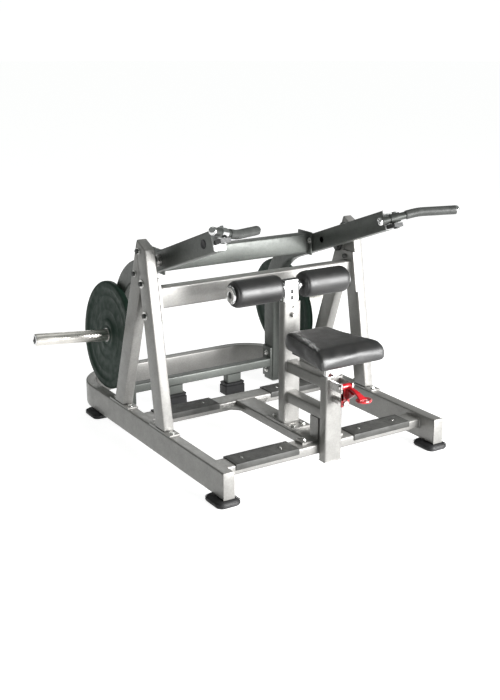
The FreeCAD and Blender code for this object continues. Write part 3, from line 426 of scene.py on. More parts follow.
def make_materials():
    made = {
        "frame_paint": paint("frame_paint", (0.290, 0.284, 0.272), 0.35, 0.38),
        "arm_paint": paint("arm_paint", (0.105, 0.113, 0.104), 0.35, 0.42),
        "bearing_iron": rubber("bearing_iron", (0.05, 0.052, 0.05), 0.5, 160),
        "zinc_bolts": steel("zinc_bolts", (0.62, 0.62, 0.60), 0.26, scale=260),
        "black_rubber": rubber("black_rubber", (0.012, 0.012, 0.013), 0.48),
        "tread_rubber": rubber("tread_rubber", (0.050, 0.050, 0.047), 0.50, 420),
        "light_caps": paint("light_caps", (0.62, 0.63, 0.62), 0.15, 0.42),
        "pin_steel": steel("pin_steel", (0.50, 0.49, 0.48), 0.30, scale=200),
        "horn_steel": steel("horn_steel", (0.86, 0.83, 0.78), 0.30, (0.2, 6, 6), 60),
        "chrome_trim": steel("chrome_trim", (0.80, 0.80, 0.80), 0.10, scale=90),
        "handle_steel": paint("handle_steel", (0.060, 0.064, 0.060), 0.5, 0.34),
        "grip_rubber": rubber("grip_rubber", (0.040, 0.042, 0.040), 0.34, 420),
        "dark_block": paint("dark_block", (0.018, 0.019, 0.019), 0.2, 0.35),
        "plate_green": plate_rubber(),
        "black_vinyl": vinyl(),
        "seat_board": rubber("seat_board", (0.030, 0.030, 0.028), 0.5, 120),
        "red_lever": red_gloss(),
    }
    return made


MATERIALS = make_materials()
SLOT_OF = {part["node"]: part["material_slot"] for part in frame["record"]["subparts"]}
BODY_OF = {node: body for body, nodes in frame["record"]["behaviour"]["bodies"].items()
           for node in nodes}


def dress_cad_nodes():
    for node, made in frame["nodes"].items():
        made.data.materials.clear()
        made.data.materials.append(MATERIALS[SLOT_OF[node]])


def stand_in(name, bm, node, *more, sharp=38.0, slot=None):
    """A piece that replaces CAD nodes and takes its body and finish from the first of them."""
    slot = slot or SLOT_OF[node]
    made = piece(name, bm, BODY_OF[node], MATERIALS[slot], sharp)
    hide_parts(node, *more)
    return made


def extra(name, bm, node, slot=None, sharp=38.0):
    """A piece with no CAD node of its own, on the body of node."""
    slot = slot or SLOT_OF[node]
    return piece(name, bm, BODY_OF[node], MATERIALS[slot], sharp)


# ---- Tubes ----

def tube_places(low, high, along):
    """The two ends of a straight tube and its half sizes, from its box."""
    axes = [axis for axis in range(3) if axis != along]
    middle = (low + high) / 2
    units = (X, Y, Z)
    places = []
    for end in (low, high):
        origin = middle.copy()
        origin[along] = end[along]
        places.append((origin, units[axes[0]], units[axes[1]]))
    half = [(high[axis] - low[axis]) / 2 for axis in axes]
    return places, half


def straight_tube(node, along):
    low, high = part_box(node)
    places, half = tube_places(low, high, along)
    bm = bmesh.new()
    hollow_sweep(bm, places, half)
    return stand_in(node + "_tube", bm, node)


def corner_bends():
    low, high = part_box("corner_bends")
    rail_low, rail_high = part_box("right_base_rail")
    half = ((rail_high.x - rail_low.x) / 2, (high.z - low.z) / 2)
    radius = high.y - low.y - half[0]
    bm = bmesh.new()
    for sign in (1, -1):
        centre = Vector((sign * (high.x - (high.y - low.y)), low.y, (low.z + high.z) / 2))
        places = []
        for i in range(25):
            turn = math.radians(90) * i / 24
            out = Vector((sign * math.cos(turn), math.sin(turn), 0))
            places.append((centre + out * radius, out, Z))
        hollow_sweep(bm, places, half)
    stand_in("corner_bend_tubes", bm, "corner_bends")


def legs():
    for side, sign in SIDES:
        for node, outline in ((side + "_front_leg", FRONT_LEG), (side + "_rear_leg", REAR_LEG)):
            bm = bmesh.new()
            prism(bm, outline, [sign * x for x in LEG_X], 0.005)
            stand_in(node + "_tube", bm, node)


def arm_places(x):
    pivot = Vector(joint_of("arm_pivot")["pos_m"])
    low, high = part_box("right_press_arm")
    leg_y = high.y - ARM_HALF
    centre_y = leg_y - ARM_BEND
    drop = math.tan(ARM_SLOPE) * (centre_y - pivot.y) + ARM_BEND / math.cos(ARM_SLOPE)
    centre = Vector((x, centre_y, pivot.z - drop))
    front = Vector((x, pivot.y, pivot.z)) + ARM_FRONT * ARM_REACH
    places = [(front, X, ARM_UP)]
    start = math.pi / 2 - ARM_SLOPE
    for i in range(25):
        turn = start * (1 - i / 24)
        out = Vector((0, math.cos(turn), math.sin(turn)))
        places.append((centre + out * ARM_BEND, X, out))
    places.append((Vector((x, leg_y, low.z)), X, Y))
    return places


def joint_of(name):
    return next(joint for joint in frame["joints"] if joint["name"] == name)


def press_arms():
    caps = bmesh.new()
    plugs = bmesh.new()
    half = (ARM_SIDE_HALF, ARM_HALF)
    for side, sign in SIDES:
        bm = bmesh.new()
        places = arm_places(sign * ARM_MID_X)
        hollow_sweep(bm, places, half)
        stand_in(side + "_arm_tube", bm, side + "_press_arm")
        for place, out in ((places[0], ARM_FRONT), (places[-1], -Z)):
            rings = []
            for step, shrink in ((0.0, 0.0), (0.0028, 0.0), (0.004, 0.0012)):
                outline = rounded_rect(half[0] - shrink, half[1] - shrink, TUBE_CORNER - shrink)
                rings.append(ring(caps, (place[0] + out * step, place[1], place[2]), outline))
            capped(caps, rings)
        # The round plug in the arm's outer face, behind the handle.
        root = places[0][0] - ARM_FRONT * 0.062 + X * sign * ARM_SIDE_HALF
        profile = ((0.017, 0.0), (0.017, 0.0012), (0.0150, 0.0022), (0.0128, 0.0012), (0.0005, 0.0010))
        turned(plugs, profile, root, X * sign, 40)
    stand_in("arm_end_plugs", caps, "arm_end_caps")
    extra("arm_side_plugs", plugs, "right_press_arm", "black_rubber")


def box_node(node, bevel):
    bm = bmesh.new()
    for low, high in islands(node):
        rounded_box(bm, low, high, bevel)
    return stand_in(node + "_rounded", bm, node)


def stop_bar():
    bm = bmesh.new()
    for low, high in islands("stop_bar"):
        long_one = high.x - low.x > 0.3
        places, half = tube_places(low, high, 0 if long_one else 2)
        hollow_sweep(bm, places, half)
    stand_in("stop_bar_tubes", bm, "stop_bar")


def rubber_stops():
    bm = bmesh.new()
    for low, high in islands("rubber_stops"):
        middle = (low + high) / 2
        half = (high - low) / 2
        rings = []
        for height, shrink in ((0.0, 0.003), (0.003, 0.0), (0.040, 0.0), (0.044, 0.0035),
                               (0.0465, 0.0035), (0.0485, 0.0015), (0.0535, 0.0015), (0.055, 0.004)):
            outline = rounded_rect(half.x - shrink, half.y - shrink, 0.007)
            rings.append(ring(bm, (Vector((middle.x, middle.y, low.z + height)), X, Y), outline))
        capped(bm, rings)
    stand_in("stop_blocks", bm, "rubber_stops")


def weld(bm, low, high, along, at):
    """A bead round a tube's outline where it meets a face at a coordinate."""
    places, half = tube_places(low, high, along)
    origin = places[0][0].copy()
    origin[along] = at
    corners = rounded_rect(half[0] + 0.0006, half[1] + 0.0006, TUBE_CORNER)
    across, up = places[0][1], places[0][2]
    points = [origin + across * a + up * b for a, b in corners]
    dense = []
    for first, second in zip(points, points[1:] + points[:1]):
        steps = max(1, round((second - first).length / 0.0035))
        dense += [first.lerp(second, i / steps) for i in range(steps)]
    tube_along(bm, dense, 0.0024, closed=True, sides=6, ripple=0.16)


def welds():
    inset = 0.0008
    for body_node, name, joints in (
            ("mid_cross_tube", "frame_welds", (
                ("front_cross_tube", 0, (0, 1)), ("mid_cross_tube", 0, (0, 1)),
                ("centre_base_tube", 1, (0, 1)), ("crossbeam", 0, (0, 1)),
                ("upper_seat_tube", 1, (0, 1)), ("lower_seat_tube", 1, (0, 1)),
                ("rear_seat_post", 2, (0,)))),
            ("arm_cross_tube", "arm_welds", (("arm_cross_tube", 0, (0, 1)),))):
        bm = bmesh.new()
        for node, along, ends in joints:
            low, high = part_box(node)
            for end in ends:
                at = high[along] - inset if end else low[along] + inset
                weld(bm, low, high, along, at)
        extra(name, bm, body_node)


# ---- Feet, covers and bolts ----

def rubber_feet():
    bm = bmesh.new()
    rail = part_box("right_base_rail")
    rail_half = (rail[1].x - rail[0].x) / 2
    for low, high in islands("rubber_feet"):
        middle, half = (low + high) / 2, (high - low) / 2
        rings = []
        for height, share, radius in ((0.0, 0.92, 0.022), (0.002, 0.97, 0.024), (0.006, 1.0, 0.026),
                                      (0.010, 1.0, 0.026), (0.014, 0.96, 0.024), (0.018, 0.87, 0.020),
                                      (0.021, 0.76, 0.014), (0.023, 0.66, 0.010)):
            a = max(half.x * share, rail_half + 0.003)
            b = half.y * (share * 0.55 + 0.45)
            place = (Vector((middle.x, middle.y, low.z + height)), X, Y)
            rings.append(ring(bm, place, rounded_rect(a, b, radius, 6)))
        capped(bm, rings)
        # Grip ridges round the foot's widest part.
        for height in (0.0065, 0.0145):
            place = (Vector((middle.x, middle.y, low.z + height)), X, Y)
            outline = rounded_rect(half.x * 0.995, half.y * 0.995, 0.024, 8)
            points = [place[0] + X * a + Y * b for a, b in outline]
            tube_along(bm, points, 0.0011, closed=True, sides=6)
    stand_in("foot_boots", bm, "rubber_feet")


def foot_covers():
    bm = bmesh.new()
    thick = 0.004
    for low, high in islands("foot_covers"):
        y0, y1, z0, z1 = low.y, high.y, low.z, high.z
        outline = ((y0, z0), (y0, z1), (y1, z1), (y1, z0), (y1 - thick, z0), (y1 - thick, z1 - thick),
                   (y0 + thick, z1 - thick), (y0 + thick, z0))
        prism(bm, outline, (low.x, high.x), 0.0016, 2)
        # Low ribs along the tread.
        for i in range(7):
            y = y0 + (y1 - y0) * (i + 1.5) / 9
            rounded_box(bm, Vector((low.x + 0.012, y - 0.0022, z1 - 0.001)),
                        Vector((high.x - 0.012, y + 0.0022, z1 + 0.0007)), 0.0006, 1)
    stand_in("foot_cover_treads", bm, "foot_covers")


def hexagon_head(bm, base, axis, radius, height):
    side = axis.orthogonal().normalized()
    other = axis.cross(side)
    rings = []
    for share, level in ((1.0, 0.0), (1.0, 0.78), (0.93, 0.92), (0.84, 1.0)):
        place = (base + axis * (height * level), side, other)
        rings.append(ring(bm, place, circle(radius * share, 6)))
    capped(bm, rings)


def washer(bm, base, axis, radius, thick=0.0016):
    profile = ((radius * 0.4, 0), (radius, 0), (radius, thick * 0.6), (radius * 0.96, thick),
               (radius * 0.4, thick))
    turned(bm, profile, base, axis, 28)


def bolt_nodes():
    head, radius = 0.008, 0.010
    bm = bmesh.new()
    for low, high in islands("base_bolts"):
        centre = Vector(((low.x + high.x) / 2, (low.y + high.y) / 2, high.z - head))
        washer(bm, centre, Z, 0.0125)
        hexagon_head(bm, centre + Z * 0.0016, Z, radius * 0.95, head - 0.0016)
    stand_in("base_bolt_heads", bm, "base_bolts")
    bm, washers = bmesh.new(), bmesh.new()
    for low, high in islands("leg_bolts"):
        sign = 1 if low.x > 0 else -1
        outer, inner = (high.x, low.x) if sign > 0 else (low.x, high.x)
        y, z = (low.y + high.y) / 2, (low.z + high.z) / 2
        wide = (high.z - low.z) / 2
        face = Vector((sign * LEG_X[1], y, z))
        washer(washers, face, X * sign, wide, 0.003)
        seat = face + X * sign * 0.003
        hexagon_head(bm, seat, X * sign, radius, abs(outer - seat.x))
        nut = Vector((inner, y, z))
        hexagon_head(bm, nut + X * sign * 0.008, -X * sign, radius, 0.008)
        turned(bm, ((0.0055, 0), (0.0055, 0.010), (0.0045, 0.0115)), nut + X * sign * 0.010,
               -X * sign, 20)
    stand_in("leg_bolt_heads", bm, "leg_bolts", slot="bearing_iron")
    extra("leg_bolt_washers", washers, "leg_bolts")
    bm = bmesh.new()
    for low, high in islands("arm_bolts"):
        sign = 1 if low.x > 0 else -1
        y, z = (low.y + high.y) / 2, (low.z + high.z) / 2
        inner = low.x if sign > 0 else high.x
        seat = Vector((inner + sign * head, y, z))
        washer(bm, seat, -X * sign, 0.0125)
        hexagon_head(bm, seat - X * sign * 0.0016, -X * sign, radius * 0.95, head - 0.0016)
    stand_in("arm_bolt_heads", bm, "arm_bolts")
    bm = bmesh.new()
    for low, high in islands("cover_screws"):
        centre = Vector(((low.x + high.x) / 2, (low.y + high.y) / 2, high.z - 0.003))
        profile = ((0.006, -0.001), (0.006, 0.0004), (0.0052, 0.0016), (0.0036, 0.0026), (0.002, 0.003),
                   (0.0018, 0.0018), (0.0004, 0.0016))
        turned(bm, profile, centre, Z, 24)
    stand_in("cover_screw_heads", bm, "cover_screws")


# ---- Horns and weight plates ----

def horn_frame(sign):
    root = Vector((sign * HORN_ROOT.x, HORN_ROOT.y, HORN_ROOT.z))
    axis = Vector((sign * math.cos(HORN_TILT), 0, math.sin(HORN_TILT)))
    return root, axis


def weight_horns():
    horns, caps, hollow_shade = bmesh.new(), bmesh.new(), bmesh.new()
    for _, sign in SIDES:
        root, axis = horn_frame(sign)
        end = HORN_LENGTH
        profile = ((0.020, -0.004), (0.0274, -0.004), (0.0274, HORN_COLLAR - 0.002),
                   (0.0262, HORN_COLLAR), (0.0248, HORN_COLLAR), (0.0248, 0.043), (HORN_RADIUS, 0.044),
                   (HORN_RADIUS, end - 0.002), (HORN_RADIUS - 0.0012, end), (0.015, end))
        turned(horns, profile, root, axis, 64)
        start = root + axis * end
        turned(caps, ((0.0215, -0.0005), (0.0222, 0.001), (0.0215, 0.003), (0.019, 0.004),
                      (0.0160, 0.004), (0.0150, 0.0010), (0.0005, 0.0008)), start, axis, 48)
        # Painted shade: a black disc in the cap's shallow recess stands for its dark hollow centre.
        turned(hollow_shade, ((0.0149, 0.0009), (0.0120, 0.0014), (0.0005, 0.0013)), start, axis, 48)
    stand_in("horn_bars", horns, "weight_horns")
    stand_in("horn_caps", caps, "horn_end_caps")
    extra("horn_cap_hollow_shade", hollow_shade, "horn_end_caps", "black_rubber")


def plate_profile():
    """Half section of the plate as (radius, height), height from its middle plane."""
    half = PLATE_THICK / 2
    face = ((0.0262, half), (0.036, half), (0.0385, half - 0.0018), (0.041, half - 0.0018), (0.0435, half),
            (0.060, half), (0.066, half - 0.003), (0.070, half - 0.005), (0.100, half - 0.005),
            (0.102, half - 0.0045), (0.106, half - 0.0045), (0.108, half - 0.005),
            (0.158, half - 0.005), (0.160, half - 0.0045), (0.164, half - 0.0045), (0.166, half - 0.005),
            (0.187, half - 0.005), (0.1925, half - 0.001), (0.197, half), (0.214, half),
            (0.2195, half - 0.0016), (0.2225, half - 0.005), (PLATE_RADIUS, half - 0.009))
    back = tuple((radius, -height) for radius, height in reversed(face))
    return face + back


def weight_plates():
    for side, sign in SIDES:
        root, axis = horn_frame(sign)
        centre = root + axis * (PLATE_START + PLATE_THICK / 2)
        bm = bmesh.new()
        ring_solid(bm, plate_profile(), centre, axis, 128)
        stand_in(side + "_plate_disc", bm, side + "_weight_plate", sharp=50)
        bm = bmesh.new()
        half = PLATE_THICK / 2 + 0.0004
        ring_solid(bm, ((0.0252, -half), (0.0275, -half), (0.0282, -half + 0.001), (0.0282, half - 0.001),
                        (0.0275, half), (0.0252, half)), centre, axis, 64)
        extra(side + "_plate_bushing", bm, side + "_weight_plate", "pin_steel")


# ---- Handles ----

def handle_line(side):
    """Origin and local axes of a handle: along it, and across the arm's top."""
    pivot = Vector(joint_of("arm_pivot")["pos_m"])
    sign = 1 if side == "right" else -1
    lift = LEFT_HUB_LIFT if side == "left" else 0.0
    angle = HANDLE_ANGLES[side]
    hub = Vector((sign * ARM_MID_X, pivot.y, pivot.z)) + ARM_FRONT * (ARM_REACH + HUB_AHEAD)
    hub += ARM_UP * lift
    along = X * math.cos(angle) + ARM_FRONT * math.sin(angle)
    return hub, along, ARM_UP * sign


def handle_point(side, distance):
    hub, along, up = handle_line(side)
    rise = along * math.cos(HANDLE_RISE) + up * math.sin(HANDLE_RISE)
    fall = along * math.cos(HANDLE_FALL) - up * math.sin(HANDLE_FALL)
    ease = 0.024
    past = distance - HANDLE_KNEE
    if past <= -ease:
        return hub + rise * distance
    if past >= ease:
        return hub + rise * HANDLE_KNEE + fall * past
    share = (past + ease) / (2 * ease)
    start = hub + rise * (HANDLE_KNEE - ease)
    knee = hub + rise * HANDLE_KNEE
    end = knee + fall * ease
    return start.lerp(knee, share).lerp(knee.lerp(end, share), share)


def handle_sweep(bm, side, stations, sides=40):
    """A round bar along the handle, with a radius for each distance from the hub."""
    rings = []
    for distance, radius in stations:
        ahead = (handle_point(side, distance + 0.001) - handle_point(side, distance - 0.001)).normalized()
        up = handle_line(side)[2]
        up = (up - ahead * up.dot(ahead)).normalized()
        rings.append(ring(bm, (handle_point(side, distance), up, ahead.cross(up)),
                          circle(radius, sides)))
    capped(bm, rings)


def spaced(start, end, steps, radius):
    return [(start + (end - start) * i / steps, radius) for i in range(steps + 1)]


def handles():
    for side, _ in SIDES:
        bm = bmesh.new()
        tail = HANDLE_TAIL
        stations = [(tail + 0.001, TUBE_R - 0.003), (tail + 0.0015, TUBE_R - 0.0005)]
        handle_sweep(bm, side, stations + spaced(tail + 0.003, 0.150, 24, TUBE_R))
        stand_in(side + "_handle_bar", bm, side + "_handle_tube")
        bm = bmesh.new()
        tip = HANDLE_TIP + HANDLE_KNEE
        stations = [(GRIP_START, TUBE_R), (GRIP_START + 0.0005, GRIP_R - 0.0006),
                    (GRIP_START + 0.0020, GRIP_R)]
        stations += spaced(GRIP_START + 0.006, tip - 0.014, 34, GRIP_R)
        stations += [(tip - 0.0125, GRIP_R - 0.0006), (tip - 0.012, TUBE_R)]
        handle_sweep(bm, side, stations)
        stand_in(side + "_handle_sleeve", bm, side + "_handle_grip", sharp=50)
        bm = bmesh.new()
        handle_sweep(bm, side, [(tail - 0.0015, 0.004), (tail - 0.001, 0.0085), (tail + 0.001, 0.0128),
                                (tail + 0.004, 0.01495), (tail + 0.012, 0.01495), (tail + 0.013, 0.0142)])
        extra(side + "_handle_tail_cap", bm, side + "_handle_clamp", "chrome_trim", sharp=60)
        bm = bmesh.new()
        stations = [(tip - 0.0125, GRIP_R - 0.0010)]
        for i in range(8):
            turn = math.radians(90) * i / 7
            stations.append((tip - 0.011 + 0.010 * math.sin(turn), GRIP_R * (0.30 + 0.68 * math.cos(turn))))
        handle_sweep(bm, side, stations)
        extra(side + "_handle_tip_cap", bm, side + "_handle_grip", "chrome_trim", sharp=60)


# ---- Pads ----

def inflated(bm, voxel, cap, pressure=4.0):
    """Remeshes a closed shape and swells it as cloth, each point moving no further than cap."""
    mesh = bpy.data.meshes.new("pad")
    bm.to_mesh(mesh)
    bm.free()
    pad = bpy.data.objects.new("pad", mesh)
    bpy.context.scene.collection.objects.link(pad)
    even = pad.modifiers.new("even", "REMESH")
    even.mode, even.voxel_size = "VOXEL", voxel
    smooth = pad.modifiers.new("smooth", "SMOOTH")
    smooth.factor, smooth.iterations = 0.5, 4
    apply_modifiers(pad)
    start = coordinates(pad.data)
    cloth = pad.modifiers.new("cloth", "CLOTH")
    cloth.settings.use_pressure = True
    cloth.settings.uniform_pressure_force = pressure
    cloth.settings.effector_weights.gravity = 0
    cloth.settings.quality = 5
    cloth.point_cache.frame_start, cloth.point_cache.frame_end = 1, CLOTH_FRAMES
    for number in range(1, CLOTH_FRAMES + 1):
        bpy.context.scene.frame_set(number)
    graph = bpy.context.evaluated_depsgraph_get()
    moved = coordinates(pad.evaluated_get(graph).data)
    bpy.context.scene.frame_set(1)
    pad.modifiers.clear()
    step = moved - start
    length = np.linalg.norm(step, axis=1, keepdims=True)
    moved = start + step * np.minimum(1, cap / np.maximum(length, 1e-9))
    return pad, moved


def coordinates(mesh):
    values = np.zeros(len(mesh.vertices) * 3, np.float32)
    mesh.vertices.foreach_get("co", values)
    return values.reshape(-1, 3).astype(float)


def finished_pad(pad, moved, name, node, rounds=6):
    pad.data.vertices.foreach_set("co", moved.astype(np.float32).ravel())
    pad.data.update()
    smooth = pad.modifiers.new("smooth", "SMOOTH")
    smooth.factor, smooth.iterations = 0.5, rounds
    finer = pad.modifiers.new("finer", "SUBSURF")
    finer.levels = finer.render_levels = 1
    apply_modifiers(pad)
    pad.name = pad.data.name = name
    pad.data.materials.clear()
    pad.data.materials.append(MATERIALS["black_vinyl"])
    pad.data.shade_smooth()
    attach(pad, BODY_OF[node])
    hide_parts(node)
    return pad


def surface(target):
    mesh = target.data
    return BVHTree.FromPolygons([v.co.copy() for v in mesh.vertices],
                                [tuple(p.vertices) for p in mesh.polygons])


def seat_half_width(y):
    low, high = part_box("seat_pad")
    share = (y - low.y) / (high.y - low.y)
    return SEAT_FRONT_HALF + (SEAT_REAR_HALF - SEAT_FRONT_HALF) * min(1, max(0, share))


def seat_side_outline(shrink):
    """Side view of the seat as (y, z): a waterfall front, a crowned top and a firm rear edge."""
    low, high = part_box("seat_pad")
    y0, y1, z0, z1 = low.y + shrink, high.y - shrink, low.z + shrink * 0.4, high.z - shrink
    points = []
    for centre, radius, start, end in (
            ((y0 + 0.012, z0 + 0.012), 0.012, 270, 180), ((y0 + 0.044, z1 - 0.044), 0.044, 180, 90),
            ((y1 - 0.020, z1 - 0.020), 0.020, 90, 0), ((y1 - 0.010, z0 + 0.010), 0.010, 0, -90)):
        for i in range(7):
            turn = math.radians(start + (end - start) * i / 6)
            points.append((centre[0] + radius * math.cos(turn), centre[1] + radius * math.sin(turn)))
    return points


def seat_pad():
    bm = bmesh.new()
    rings = []
    layers = ((-1.0, 0.011), (-0.985, 0.0065), (-0.95, 0.005), (-0.5, 0.004), (0, 0.004), (0.5, 0.004),
              (0.95, 0.005), (0.985, 0.0065), (1.0, 0.011))
    for share, shrink in layers:
        row = []
        for y, z in seat_side_outline(shrink):
            row.append(bm.verts.new(((seat_half_width(y) - 0.005) * share, y, z)))
        rings.append(row)
    capped(bm, rings)
    bmesh.ops.recalc_face_normals(bm, faces=bm.faces)
    pad, moved = inflated(bm, 0.0055, 0.005, 2.5)
    low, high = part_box("seat_pad")
    moved[:, 2] = np.clip(moved[:, 2], low.z + 0.0003, high.z + 0.003)
    pad = finished_pad(pad, moved, "seat_cushion", "seat_pad", 14)
    seat_seams(pad)


def seat_seams(pad):
    """Piping along both sides, where the side panels meet the top and the front."""
    tree = surface(pad)
    bm = bmesh.new()
    for sign in (1, -1):
        path = []
        for y, z in seat_side_outline(0.001)[4:25]:
            path.append(Vector((sign * (seat_half_width(y) + 0.004), y, z)))
        dense = []
        for first, second in zip(path, path[1:]):
            steps = max(1, round((second - first).length / 0.006))
            dense += [first.lerp(second, i / steps) for i in range(steps)]
        settled = [tree.find_nearest(point)[0] for point in dense]
        tube_along(bm, eased(settled, 14), 0.0015, sides=8)
    extra("seat_piping", bm, "seat_pad", "black_vinyl", sharp=80)


def eased(points, rounds=3):
    for _ in range(rounds):
        points = ([points[0]]
                  + [(a + b * 2 + c) / 4 for a, b, c in zip(points, points[1:], points[2:])]
                  + [points[-1]])
    return points


def rollers():
    for side, _ in SIDES:
        node = side + "_roller_pad"
        low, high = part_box(node)
        middle = (low + high) / 2
        radius = (high.z - low.z) / 2
        length = high.x - low.x
        start = Vector((low.x, middle.y, middle.z))
        bm = bmesh.new()
        core = radius - 0.005
        profile = ((0.004, 0.004), (core - 0.016, 0.004), (core - 0.008, 0.006), (core - 0.002, 0.011),
                   (core, 0.017), (core, length - 0.017), (core - 0.002, length - 0.011),
                   (core - 0.008, length - 0.006), (core - 0.016, length - 0.004), (0.004, length - 0.004))
        turned(bm, profile, start, X, 64)
        bmesh.ops.recalc_face_normals(bm, faces=bm.faces)
        pad, moved = inflated(bm, 0.0045, 0.005)
        moved[:, 0] = np.clip(moved[:, 0], low.x + 0.0004, high.x - 0.0004)
        pad = finished_pad(pad, moved, side + "_roller_cushion", node)
        tree = surface(pad)
        bm = bmesh.new()
        for at in (low.x + 0.0075, high.x - 0.0075):
            points = []
            for a, b in circle(radius + 0.01, 72):
                direction = Vector((0, -a, -b)).normalized()
                hit = tree.ray_cast(Vector((at, middle.y + a, middle.z + b)), direction)
                if hit[0]:
                    points.append(hit[0])
            tube_along(bm, points, 0.0018, closed=True, sides=8)
        extra(side + "_roller_piping", bm, node, "black_vinyl", sharp=80)


def roller_fittings():
    """End caps with a dark centre, and the washers beside the post."""
    bm = bmesh.new()
    dark = bmesh.new()
    low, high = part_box("roller_caps")
    centre_y, centre_z = (low.y + high.y) / 2, (low.z + high.z) / 2
    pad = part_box("right_roller_pad")
    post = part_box("roller_post")
    for _, sign in SIDES:
        root = Vector((sign * (pad[1].x + 0.001), centre_y, centre_z))
        cap = high.x - pad[1].x - 0.001
        turned(bm, ((0.012, 0), (0.0332, 0), (0.034, 0.0012), (0.0335, 0.003), (0.0300, cap - 0.0006),
                    (0.026, cap), (0.0145, cap), (0.0135, cap - 0.0012), (0.0125, cap - 0.0015)),
               root, X * sign, 56)
        turned(dark, ((0.0124, cap - 0.0010), (0.0112, cap - 0.0003), (0.005, cap), (0.0005, cap)),
               root, X * sign, 32)
        start = Vector((sign * post[1].x, centre_y, centre_z))
        ring_solid(bm, ((0.0127, 0), (0.019, 0), (0.020, 0.001), (0.020, 0.011), (0.019, 0.012),
                        (0.0127, 0.012)), start, X * sign, 48)
    stand_in("roller_end_caps", bm, "roller_caps")
    extra("roller_cap_centres", dark, "roller_caps", "black_rubber")


def posts():
    rear = straight_tube("rear_seat_post", 2)
    front = straight_tube("front_seat_post", 2)
    for made, node, height, radius in ((rear, "rear_seat_post", 0.570, 0.005),
                                       (rear, "rear_seat_post", 0.540, 0.006),
                                       (front, "front_seat_post", 0.288, 0.006)):
        low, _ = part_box(node)
        drill(made, Vector((0, low.y - 0.01, height)), Vector((0, low.y + 0.008, height)), radius)
    for node, bottom, top in (("roller_post", 0.420, 0.540), ("seat_inner_post", 0.208, 0.288)):
        made = straight_tube(node, 2)
        low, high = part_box(node)
        drill(made, Vector((0, low.y - 0.01, bottom)), Vector((0, low.y + 0.008, bottom)), 0.007, top)
    # The roller post's top plug, and two black patches on its front face, painted shade for two window slots.
    low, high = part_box("roller_post")
    bm = bmesh.new()
    middle = (low + high) / 2
    half = (high - low) / 2
    rings = []
    for drop, shrink in ((0.012, 0.0032), (0.0002, 0.0032), (0.0, 0.0045)):
        place = (Vector((middle.x, middle.y, high.z - drop)), X, Y)
        rings.append(ring(bm, place, rounded_rect(half.x - shrink, half.y - shrink, 0.0035)))
    capped(bm, rings)
    extra("roller_post_plug", bm, "roller_post", "black_rubber")
    # Painted shade: dark patches stand for the shade inside two window slots.
    bm = bmesh.new()
    face = low.y
    for height in (0.628, 0.604):
        rounded_box(bm, Vector((-0.0058, face - 0.0010, height - 0.008)),
                    Vector((0.0058, face + 0.0006, height + 0.008)), 0.0009, 2)
    extra("roller_post_window_shade", bm, "roller_post", "black_rubber")


# ---- Lever ----

def lever():
    bm = bmesh.new()
    joint = Vector(joint_of("lever_lift")["pos_m"])
    low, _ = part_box("seat_lever")
    y, z = joint.y, joint.z
    turned(bm, ((0.0065, -0.0205), (0.0098, -0.0205), (0.0108, -0.019), (0.0108, 0.019), (0.0098, 0.0205),
                (0.0065, 0.0205)), Vector((0, y, z)), X, 40)
    # The strap on the lock pin, as two legs and a bridge.
    for x0, x1 in ((-0.018, -0.0078), (0.0078, 0.018)):
        rounded_box(bm, Vector((x0, y - 0.003, low.z)), Vector((x1, y + 0.003, z)), 0.0012, 2)
    rounded_box(bm, Vector((-0.018, y - 0.003, low.z + 0.024)), Vector((0.018, y + 0.003, z)), 0.0012, 2)
    # The stem swells into the paddle.
    half_x, half_y = 0.031, 0.026
    paddle = Vector((0.020, low.y + half_y, 0.319))
    rings = []
    start = Vector((0.008, y - 0.004, z - 0.003))
    for i in range(13):
        share = i / 12
        point = start.lerp(paddle, share)
        point.z += 0.006 * math.sin(math.pi * share)
        wide = 0.0085 + 0.009 * share ** 3
        thick = 0.0060 - 0.0025 * share
        rings.append(ring(bm, (point, X, Z), rounded_rect(wide, thick, thick * 0.95, 6)))
    capped(bm, rings)
    # A fin under the stem, as the pressed lever has.
    outline = ((y - 0.002, z - 0.004), (y - 0.040, z - 0.022), (y - 0.030, z - 0.034),
               (y - 0.002, z - 0.052))
    prism(bm, outline, (0.0005, 0.0175), 0.0025, 2)
    # The oval paddle, dished on top.
    steps = 56
    profile = ((0.30, -0.0040), (0.80, -0.0048), (0.95, -0.0034), (1.0, 0.0), (0.985, 0.0030),
               (0.93, 0.0048), (0.84, 0.0046), (0.62, 0.0030), (0.30, 0.0022))
    rings = []
    for share, height in profile:
        outline = [(half_x * share * a, half_y * share * b) for a, b in circle(1.0, steps)]
        rings.append(ring(bm, (paddle + Z * height, X, Y), outline))
    capped(bm, rings)
    stand_in("lever_paddle", bm, "seat_lever", sharp=50)


# ---- Stage ----

CAMERA_PLACE = Vector((-2.1440, -3.3719, 1.5584))
CAMERA_YAW, CAMERA_PITCH = 0.56775, 0.29331


def stage():
    bm = bmesh.new()
    bmesh.ops.create_circle(bm, cap_ends=True, radius=60, segments=64)
    floor = staged("floor", bm, (0.60, 0.60, 0.60), 0.84)
    floor.visible_glossy = True
    bm = bmesh.new()
    bmesh.ops.create_uvsphere(bm, u_segments=48, v_segments=24, radius=55)
    backdrop = staged("backdrop", bm, (0, 0, 0), 1.0)
    backdrop.visible_shadow = False
    world = bpy.data.worlds.new("studio")
    bpy.context.scene.world = world
    world.use_nodes = True
    world.node_tree.nodes["Background"].inputs["Color"].default_value = (0.95, 1.0, 0.96, 1)
    world.node_tree.nodes["Background"].inputs["Strength"].default_value = 0.24
    area_light("key", (1.9, -4.4, 1.30), (0, -0.1, 0.5), (2.8, 2.3), 600)
    area_light("top", (-0.4, 0.4, 3.6), (0, 0.2, 0.4), (2.0, 1.6), 7)
    area_light("back", (1.5, 4.2, 2.4), (0, 0, 0.4), (2.0, 1.4), 14)


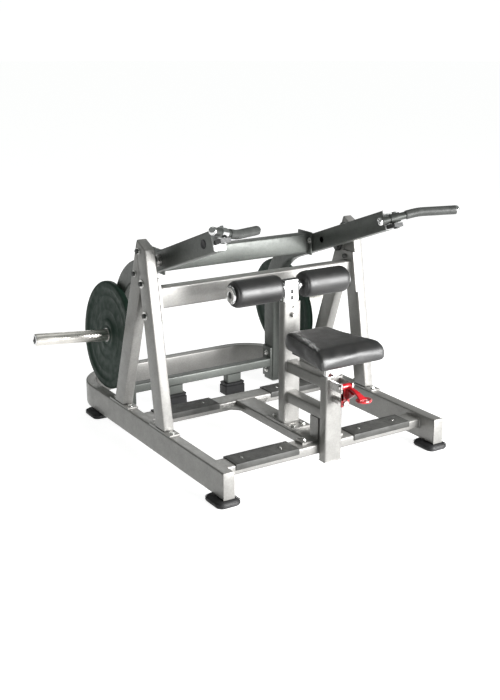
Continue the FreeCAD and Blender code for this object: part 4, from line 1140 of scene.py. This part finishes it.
def staged(name, bm, colour, glow):
    """A floor or backdrop that the camera sees, but that doesn't light the machine."""
    mesh = bpy.data.meshes.new(name)
    bm.to_mesh(mesh)
    bm.free()
    made = bpy.data.objects.new(name, mesh)
    bpy.context.scene.collection.objects.link(made)
    mesh.materials.append(Finish(name, colour, 0.9, Emission_Color=(1, 1, 1, 1),
                                 Emission_Strength=glow).material)
    made.visible_diffuse = made.visible_glossy = False
    return made


def area_light(name, place, target, size, power):
    data = bpy.data.lights.new(name, "AREA")
    data.shape, data.size, data.size_y, data.energy = "RECTANGLE", size[0], size[1], power
    made = bpy.data.objects.new(name, data)
    made.location = place
    made.rotation_euler = (Vector(target) - Vector(place)).to_track_quat("-Z", "Y").to_euler()
    bpy.context.scene.collection.objects.link(made)


def camera():
    data = bpy.data.cameras.new("camera")
    data.sensor_width, data.lens = 36.0, 53.46
    data.shift_x, data.shift_y = -0.0067, -0.0076
    made = bpy.data.objects.new("camera", data)
    flat = math.cos(CAMERA_PITCH)
    ahead = Vector((math.sin(CAMERA_YAW) * flat, math.cos(CAMERA_YAW) * flat, -math.sin(CAMERA_PITCH)))
    made.location = CAMERA_PLACE
    made.rotation_euler = ahead.to_track_quat("-Z", "Y").to_euler()
    bpy.context.scene.collection.objects.link(made)
    bpy.context.scene.camera = made
    bpy.context.scene.view_settings.view_transform = "Standard"


camera()
stage()
dress_cad_nodes()
for tube, direction in (("right_base_rail", 1), ("left_base_rail", 1), ("rear_base_tube", 0),
                        ("front_cross_tube", 0), ("mid_cross_tube", 0), ("centre_base_tube", 1),
                        ("crossbeam", 0), ("upper_seat_tube", 1), ("lower_seat_tube", 1),
                        ("arm_cross_tube", 0)):
    straight_tube(tube, direction)
corner_bends()
legs()
press_arms()
stop_bar()
rubber_stops()
for plates in ("leg_base_plates", "arm_cross_flanges", "stop_bar_flanges", "seat_plate",
               "tube_plugs"):
    box_node(plates, 0.0012)
posts()
welds()
rubber_feet()
foot_covers()
bolt_nodes()
weight_horns()
weight_plates()
handles()
roller_fittings()
rollers()
seat_pad()
lever()
